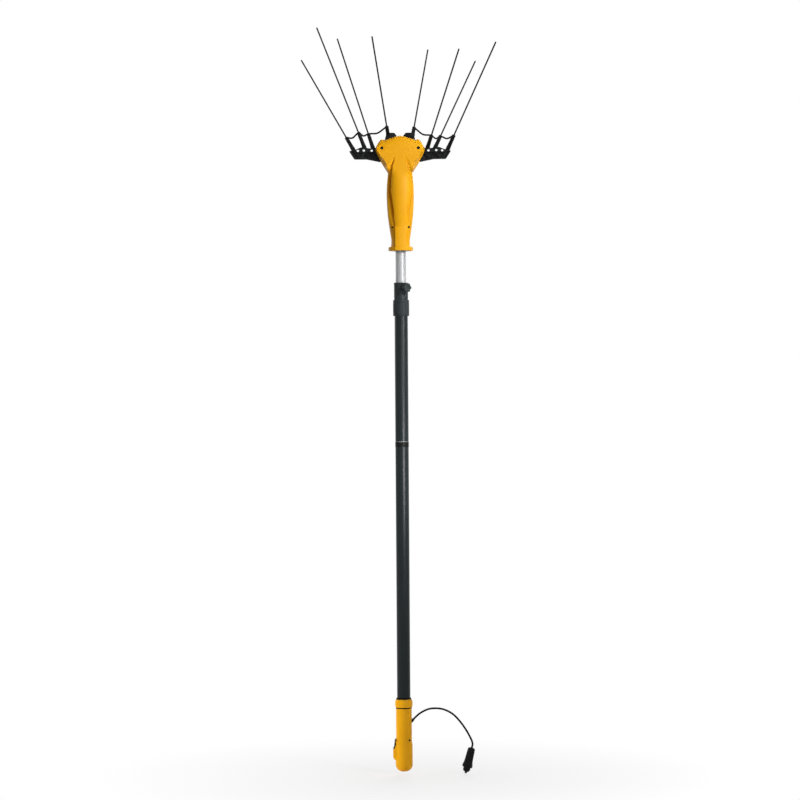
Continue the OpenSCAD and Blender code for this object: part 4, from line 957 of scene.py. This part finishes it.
def trigger_lever():
    """A finger lever with ribs across its face, a fork round the spring and the bore of its pin."""
    hub_x, hub_z = TRIGGER_AXIS
    half_turn = turns(TRIGGER_HUB_SIDES)[:TRIGGER_HUB_SIDES // 2 + 1]
    hub = [(hub_x + TRIGGER_HUB_R * cos(a), hub_z + TRIGGER_HUB_R * sin(a)) for a in half_turn]
    outline = rounded(hub + TRIGGER_LEVER, TRIGGER_ROUND)
    finger = plate("trigger_lever", outline, -TRIGGER_HALF, TRIGGER_HALF, SMOOTH_TURNED)
    soften(finger, TRIGGER_EDGE, 3)
    cutters = [bore(-smooth_row(TRIGGER_FACE, z)[0] - RIB_OUT, z, RIB_R, 16, RIB_HALF) for z in RIBS_Z]
    cutters += [bore(hub_x, hub_z, FORK_R, 40, FORK_HALF), bore(hub_x, hub_z, PIN_BORE_R)]
    cut(finger, cutters)
    finish_piece(finger, "trigger", "black_plastic", "trigger")


grip_half("grip_front_moulding", "handle_front_shell", -1)
grip_half("grip_rear_moulding", "handle_rear_shell", 1)
for ring_name, ring_slot, ring_corner, ring_outline, *ring_node in RINGS:
    finish_piece(lathe(ring_name, rounded(ring_outline, ring_corner), 96), "pole", ring_slot, *ring_node)
trigger_lever()
relief = lathe("lead_strain_relief", GROMMET_OUTLINE, 48, axis_place(EXIT_AT, EXIT_WAY))
finish_piece(relief, "pole", "rubber", "cable_grommet")


# Pole: tubes, the band, the clamp and its knob
TUBE_TOP = 1238.0
# Tubes: name, body, slot, outer and inner radius, foot, top, radius of the rims, and the node it stands for
TUBES = [
    ("outer_tube_drawn", "pole", "charcoal_tube", TUBE_R, TUBE_R - TUBE_WALL, TUBE_FOOT, TUBE_TOP, 0.4,
     "outer_tube"),
    ("inner_tube_drawn", "mast", "bare_aluminium", INNER_R, INNER_R - TUBE_WALL, 330.0, 1430.0, 0.4,
     "inner_tube"),
    ("tube_band_sleeve", "pole", "black_plastic", 19.45, TUBE_R + FIT, 824.0, 838.0, 0.15, "tube_band"),
]
TRIM = ("tube_band_trim", "pole", "bare_aluminium", 19.35, TUBE_R + FIT, 838.2, 839.8, 0.12)
SLIDE_R = 15.3
SLEEVE_R = 23.05
SLEEVE = (1198, 1244)
SLEEVE_GROOVE_R = 22.5
FLUTES = 16
FLUTE_R = 1.5
FLUTE_AT_R = 24.0
FLUTE_FOOT = 1208.0
FLUTE_LEN = 24.0
JAW_R = 19.9
JAW = (1244, 1293)
JAW_BOSS = [(0, 16), (8.6, 16), (8.4, 22), (8, 25.3), (7.4, 25.9), (0, 25.9)]
JAW_EDGE = 0.5
JAW_SLIT = ((-1, 10, 1252), (1, 30, 1298))
# A window of the jaw, and the turns of both windows in degrees
JAW_WINDOW = ((-4, -30, 1254.5), (4, -16.6, 1262.5))
WINDOW_TURNS = (-28, 19)
STUD_R = 3.05
KNOB_Z = 1277.81
KNOB_TURN = radians(30)
KNOB_WAY = (sin(KNOB_TURN), -cos(KNOB_TURN), 0)
KNOB_OUT = 26.4
KNOB_R = 13.5
KNOB_LOBES = 6
KNOB_DIP = 2.4
KNOB_DIP_POWER = 1.6
KNOB_COLUMNS = 120
KNOB_SMOOTH = 35
# Layers of the knob: share of its radius, and height. Those above the lobed share have lobes
KNOB_LAYERS = [
    (0.23, 0), (0.8, 0), (0.92, 0.4), (0.985, 1.5), (1, 3), (1, 8.6), (0.985, 10.2), (0.93, 11.4), (0.84, 12),
    (0.5, 12), (0.46, 11.7), (0.44, 10.8), (0.05, 10.8), (0.05, 5), (0.23, 5),
]
LOBED_SHARE = 0.6


def tube(name, body, slot, outer, inner, low, high, rim, *node, smooth=SMOOTH_TURNED, look=None):
    """A finished tube with rounded rims."""
    outline = rounded([(inner, low), (outer, low), (outer, high), (inner, high)], rim)
    finish_piece(lathe(name, outline, 96, None, smooth), body, slot, *node, look=look)


def clamp_sleeve():
    """A fluted sleeve with bevelled ends and two fine grooves."""
    low, high = SLEEVE
    outline = [(TUBE_R + FIT, low), (22.0, low), (22.8, low + 0.8), (SLEEVE_R, low + 2)]
    for groove in (low + 5, high - 9):
        outline += [(SLEEVE_R, groove), (SLEEVE_GROOVE_R, groove + 0.5), (SLEEVE_GROOVE_R, groove + 1.3),
                    (SLEEVE_R, groove + 1.8)]
    outline += [(SLEEVE_R, high - 2.4), (22.6, high - 1.0), (21.4, high), (SLIDE_R, high),
                (SLIDE_R, TUBE_TOP), (TUBE_R + FIT, TUBE_TOP)]
    sleeve = lathe("clamp_sleeve_turned", outline, 96, None, SMOOTH_MOULDED)
    feet = [polar(FLUTE_AT_R, a, FLUTE_FOOT) for a in turns(FLUTES, 0.5)]
    flutes = [rod("flute", foot, (0, 0, 1), FLUTE_R, FLUTE_LEN, 20) for foot in feet]
    cut(sleeve, flutes)
    finish_piece(sleeve, "pole", "charcoal_plastic", "clamp_sleeve")


def clamp_jaw():
    """A slotted jaw round the inner tube, with windows, a top ridge and the boss of the knob."""
    low, high = JAW
    outline = [
        (SLIDE_R, low), (19.4, low), (JAW_R, low + 0.6), (JAW_R, high - 5.2), (20.3, high - 4.4),
        (20.7, high - 3.6), (20.7, high - 1.2), (20, high - 0.2), (19, high), (16.2, high),
        (SLIDE_R, high - 0.8),
    ]
    jaw = lathe("clamp_jaw_moulded", outline, 96, None, SMOOTH_MOULDED)
    centre = (0, 0, KNOB_Z)
    combine(jaw, [lathe("boss", JAW_BOSS, 48, axis_place(centre, KNOB_WAY))])
    cutters = [
        rod("stud", centre, KNOB_WAY, STUD_R, CUT_LEN),
        rod("bore", (0, 0, low - OVERRUN), (0, 0, 1), SLIDE_R, high - low + 2 * OVERRUN, 96),
    ]
    cutters += [box("window", *JAW_WINDOW, Matrix.Rotation(radians(a), 4, "Z")) for a in WINDOW_TURNS]
    cut(jaw, cutters + [box("slit", *JAW_SLIT)])
    soften(jaw, JAW_EDGE, 2)
    finish_piece(jaw, "pole", "charcoal_plastic", "clamp_jaw")


def clamp_knob():
    """A six-lobed knob with rounded rims and a sunk cap."""
    place = axis_place((0, 0, KNOB_Z), KNOB_WAY)
    points = []
    for share, height in KNOB_LAYERS:
        for a in turns(KNOB_COLUMNS):
            lobed = KNOB_R - KNOB_DIP * (0.5 - 0.5 * cos(KNOB_LOBES * a)) ** KNOB_DIP_POWER
            r = share * (lobed if share > LOBED_SHARE else KNOB_R)
            points.append(place @ polar(r, a, KNOB_OUT + height))
    faces = grid_faces(len(KNOB_LAYERS), KNOB_COLUMNS, True, True)
    knob = mesh_object("clamp_knob_lobed", points, faces, KNOB_SMOOTH)
    finish_piece(knob, "clamp_knob", "charcoal_plastic", "clamp_knob")


for tube_row in TUBES:
    tube(*tube_row)
tube(*TRIM, smooth=SMOOTH, look="silver_trim")
clamp_sleeve()
clamp_jaw()
clamp_knob()


# Combs: outlines and tine feet as shares of a comb's reach and of its drop or rise, as in the solids
REACH = 93.6
DROP = 37.4
RISE = 46.0
PALM_HALF = 8.0
HUB_R = 11.05
PALM_SHARES = [
    (0.14, -0.16), (0.03, -1), (0.47, -0.775), (0.84, -0.775), (1, -0.16), (0.81, -0.05), (0.636, 0.11),
    (0.42, 0.05), (0.214, 0.02), (0.085, 0.33), (-0.085, 0.54), (-0.15, 1), (-0.385, 1), (-0.48, 0.74),
    (-0.427, 0.44), (-0.085, 0.35), (0.06, 0.23),
]
TONGUE = [(0, -0.22), (0.13, -0.27), (0.42, -0.33), (0.42, -0.64), (0.07, -0.6), (0, -0.28)]
TONGUE_HALF = 3.05
PALM_HOLES = [(0.73, -0.12), (0.55, -0.1), (0.31, -0.12)]
PALM_HOLE_R = 3.5
# Sunk fields between the braces of a bar
FIELDS = [
    [(0.16, -0.36), (0.16, -0.88), (0.33, -0.76)], [(0.2, -0.3), (0.5, -0.3), (0.37, -0.7)],
    [(0.41, -0.7), (0.52, -0.36), (0.63, -0.7)], [(0.57, -0.3), (0.82, -0.3), (0.68, -0.68)],
    [(0.73, -0.69), (0.83, -0.69), (0.94, -0.2), (0.86, -0.2)],
]
FIELD_DEEP = 3.0
PALM_ROUND = 3.0
FIELD_ROUND = 1.6
PALM_EDGE = 0.7
# Tines: foot shares, spread and lean in degrees, and the share of the socket's length
TINES = {
    -1: [(0.865, -0.05, -28.8, 29.7, 1), (0.524, 0.07, -21.5, -8, 1), (0.267, 0.04, -17.3, 19.6, 1),
         (-0.198, 0.826, -9.5, -43.3, 0.58)],
    1: [(0.897, -0.05, 25.3, -32.1, 1), (0.513, 0.06, 24.2, 35.4, 1), (0.278, 0.04, 19, -43.6, 1),
        (-0.171, 0.804, 9.9, 38, 0.58)],
}
TINE_R = 2.25
TINE_FOOT = 12.0
TINE_SHOW = 332.0
SOCKET_LEN = 36.0
# Socket: radii at heights below zero, at shares of its length, and below its top
SOCKET_LOW = [(6.45, -8)]
SOCKET_SHARES = [(6.1, 0.11), (6.5, 0.14), (6.5, 0.2), (5.95, 0.22)]
SOCKET_TOP = [(5.2, -5), (5.5, -4), (5.5, -0.8), (5.1, 0)]
# Collar of a link on a tine: radius and height
LINK_COLLAR = [
    (0, 0), (5.1, 0), (5.45, 0.5), (5.45, 2.5), (5.15, 3.2), (5.15, 9.8), (5.45, 10.5), (5.45, 12.3),
    (4.9, 13), (0, 13),
]
LINK_SEAT = 11.44
LINK_R = 2.5
LINK_DIP = 7.0
LINK_STEPS = 22
TINE_STEPS = 8
TINE_BEVEL = 0.3
TINE_SMOOTH = 50
COMBS = {-1: ("left", "left_comb"), 1: ("right", "right_comb")}


def comb_place(side, share):
    """A place on a comb, in x and z, from shares of its reach and of its drop or rise."""
    return (side * (PIVOT_X + share[0] * REACH), PIVOT_Z + share[1] * (DROP if share[1] < 0 else RISE))


def tine_line(side, tine):
    """Foot and direction of a tine."""
    x, z = comb_place(side, tine)
    spread, lean = (radians(v) for v in tine[2:4])
    way = Vector((cos(lean) * sin(spread), sin(lean), cos(lean) * cos(spread)))
    return Vector((x, 0, z)), way


def palm(side):
    """A braced bar with a round seat for its hub and a socket for every tine."""
    name, body = COMBS[side]
    outline = rounded([comb_place(side, s) for s in PALM_SHARES], PALM_ROUND, 4)
    bar = plate(name + "_palm_moulded", outline, -PALM_HALF, PALM_HALF)
    cutters = []
    for field in FIELDS:
        outline = rounded([comb_place(side, s) for s in field], FIELD_ROUND)
        cutters.append(plate("field", outline, -PALM_HALF - OVERRUN, FIELD_DEEP - PALM_HALF))
        cutters.append(plate("field", outline, PALM_HALF - FIELD_DEEP, PALM_HALF + OVERRUN))
    cutters.append(bore(side * PIVOT_X, PIVOT_Z, HUB_R, 72))
    cut(bar, cutters)
    soften(bar, PALM_EDGE, 2)
    cut(bar, [plate("tongue", [comb_place(side, s) for s in TONGUE], -TONGUE_HALF, TONGUE_HALF)])
    sockets, bores = [], []
    for tine in TINES[side]:
        foot, way = tine_line(side, tine)
        top = SOCKET_LEN * tine[4]
        outline = SOCKET_LOW + [(r, top * share) for r, share in SOCKET_SHARES]
        outline += [(r, top + below) for r, below in SOCKET_TOP]
        outline = [(0, outline[0][1])] + outline + [(0, top)]
        sockets.append(lathe("socket", outline, 40, axis_place(foot, way)))
        bores.append(rod("bore", foot + TINE_FOOT * tine[4] * way, way, TINE_R + FIT / 2, CUT_LEN, 24))
    bores += [bore(*comb_place(side, share), PALM_HOLE_R, 40) for share in PALM_HOLES]
    combine(bar, sockets)
    cut(bar, bores)
    finish_piece(bar, body, "black_plastic", name + "_palm")


def link(side):
    """A band that hangs between the collars on the tines."""
    name, body = COMBS[side]
    lines = [(*tine_line(side, tine), SOCKET_LEN * tine[4]) for tine in TINES[side]]
    ends = [foot + (top + LINK_SEAT) * way for foot, way, top in lines]
    route = []
    for a, b in zip(ends, ends[1:]):
        for k in range(LINK_STEPS):
            t = k / LINK_STEPS
            route.append(a.lerp(b, t) - Vector((0, 0, LINK_DIP * sin(pi * t) ** 2)))
    band = sweep(name + "_link_moulded", route + [ends[-1]], LINK_R, 16)
    collars, bores = [], []
    for foot, way, top in lines:
        collars.append(lathe("collar", LINK_COLLAR, 40, axis_place(foot + top * way, way)))
        bores.append(rod("bore", foot, way, TINE_R + FIT / 2, CUT_LEN, 24))
    combine(band, collars)
    cut(band, bores)
    finish_piece(band, body, "black_plastic", name + "_link")


def tine(side, number):
    """A round rod with a bevelled foot and a domed tip."""
    name, body = COMBS[side]
    row = TINES[side][number]
    foot, way = tine_line(side, row)
    low, high = TINE_FOOT * row[4], SOCKET_LEN * row[4] + TINE_SHOW
    outline = [(0, low), (TINE_R - TINE_BEVEL, low), (TINE_R, low + TINE_BEVEL)]
    outline += [(TINE_R, low + (high - low) * k / TINE_STEPS) for k in range(1, TINE_STEPS)]
    outline += [(TINE_R * cos(radians(a)), high - TINE_R + TINE_R * sin(radians(a)))
                for a in range(0, 91, 15)]
    node = "%s_tine_%d" % (name, number + 1)
    piece = lathe(node + "_rod", outline, 24, axis_place(foot, way), TINE_SMOOTH)
    finish_piece(piece, body, "tine_composite", node)


for comb_side in SIDES:
    palm(comb_side)
    link(comb_side)
    for tine_number in range(len(TINES[comb_side])):
        tine(comb_side, tine_number)


# Screws: a domed head with a cross recess, on a plain shank
CROSS_HALF = 0.45
CROSS_TURN = 0.4
CROSS_REACH_SHARE = 0.6
CROSS_FOOT_SHARE = 0.35
SHANK_R = 1.6
SHANK_TIP_R = 1.3
SHANK_BEVEL = 0.5
# Shares of a head's radius and height, and the radius and height of each kind of head
SCREW_HEAD = [(1, 0), (1, 0.4), (0.93, 0.7), (0.72, 0.92), (0.4, 1), (0, 1)]
EAR_HEAD = (4.4, 1.2)
LOW_HEAD = (3.2, 2.4)
GRIP_HEAD = (3.1, 2.4)
# Where the tips of the ears' screws and of the longer ones end
EAR_TIP_Y = 16.5
LONG_TIP_Y = -10.0


def screw(x, z, out, seat, tip, head):
    """A cross-head screw along Y whose head stands out of its seat, to the front or to the back."""
    head_r, head_h = head
    foot = tip - seat
    outline = [(0, foot), (SHANK_TIP_R, foot), (SHANK_R, foot + SHANK_BEVEL), (SHANK_R, 0)]
    outline += [(head_r * wide, head_h * high) for wide, high in SCREW_HEAD]
    place = axis_place((x, out * seat, z), (0, out, 0))
    made = lathe("screw", outline, 40, place)
    reach = head_r * CROSS_REACH_SHARE
    low, high = (-reach, -CROSS_HALF, head_h * CROSS_FOOT_SHARE), (reach, CROSS_HALF, head_h + OVERRUN)
    arms = [box("arm", low, high, place @ Matrix.Rotation(CROSS_TURN + a, 4, "Z")) for a in (0, pi / 2)]
    return cut(made, arms)


def screw_set(name, body, node, screws):
    """All the screws of a node as one piece."""
    piece = joined(screws[0], screws[1:])
    piece.name = name
    finish_piece(piece, body, "blackened_steel", node)


head_set = []
for head_side in SIDES:
    for head_out in SIDES:
        head_set.append(screw(head_side * PIVOT_X, PIVOT_Z, head_out, EAR_SCREW[-1], EAR_TIP_Y, EAR_HEAD))
    head_set.append(screw(head_side * LOW_SCREW[0], LOW_SCREW[1], -1, LOW_SCREW[-1], LONG_TIP_Y, LOW_HEAD))
screw_set("head_screw_set", "mast", "head_screws", head_set)
grip_set = [screw(*row, GRIP_SEAT_Y, LONG_TIP_Y, GRIP_HEAD) for row in GRIP_SCREWS]
screw_set("grip_screw_set", "pole", "handle_screws", grip_set)
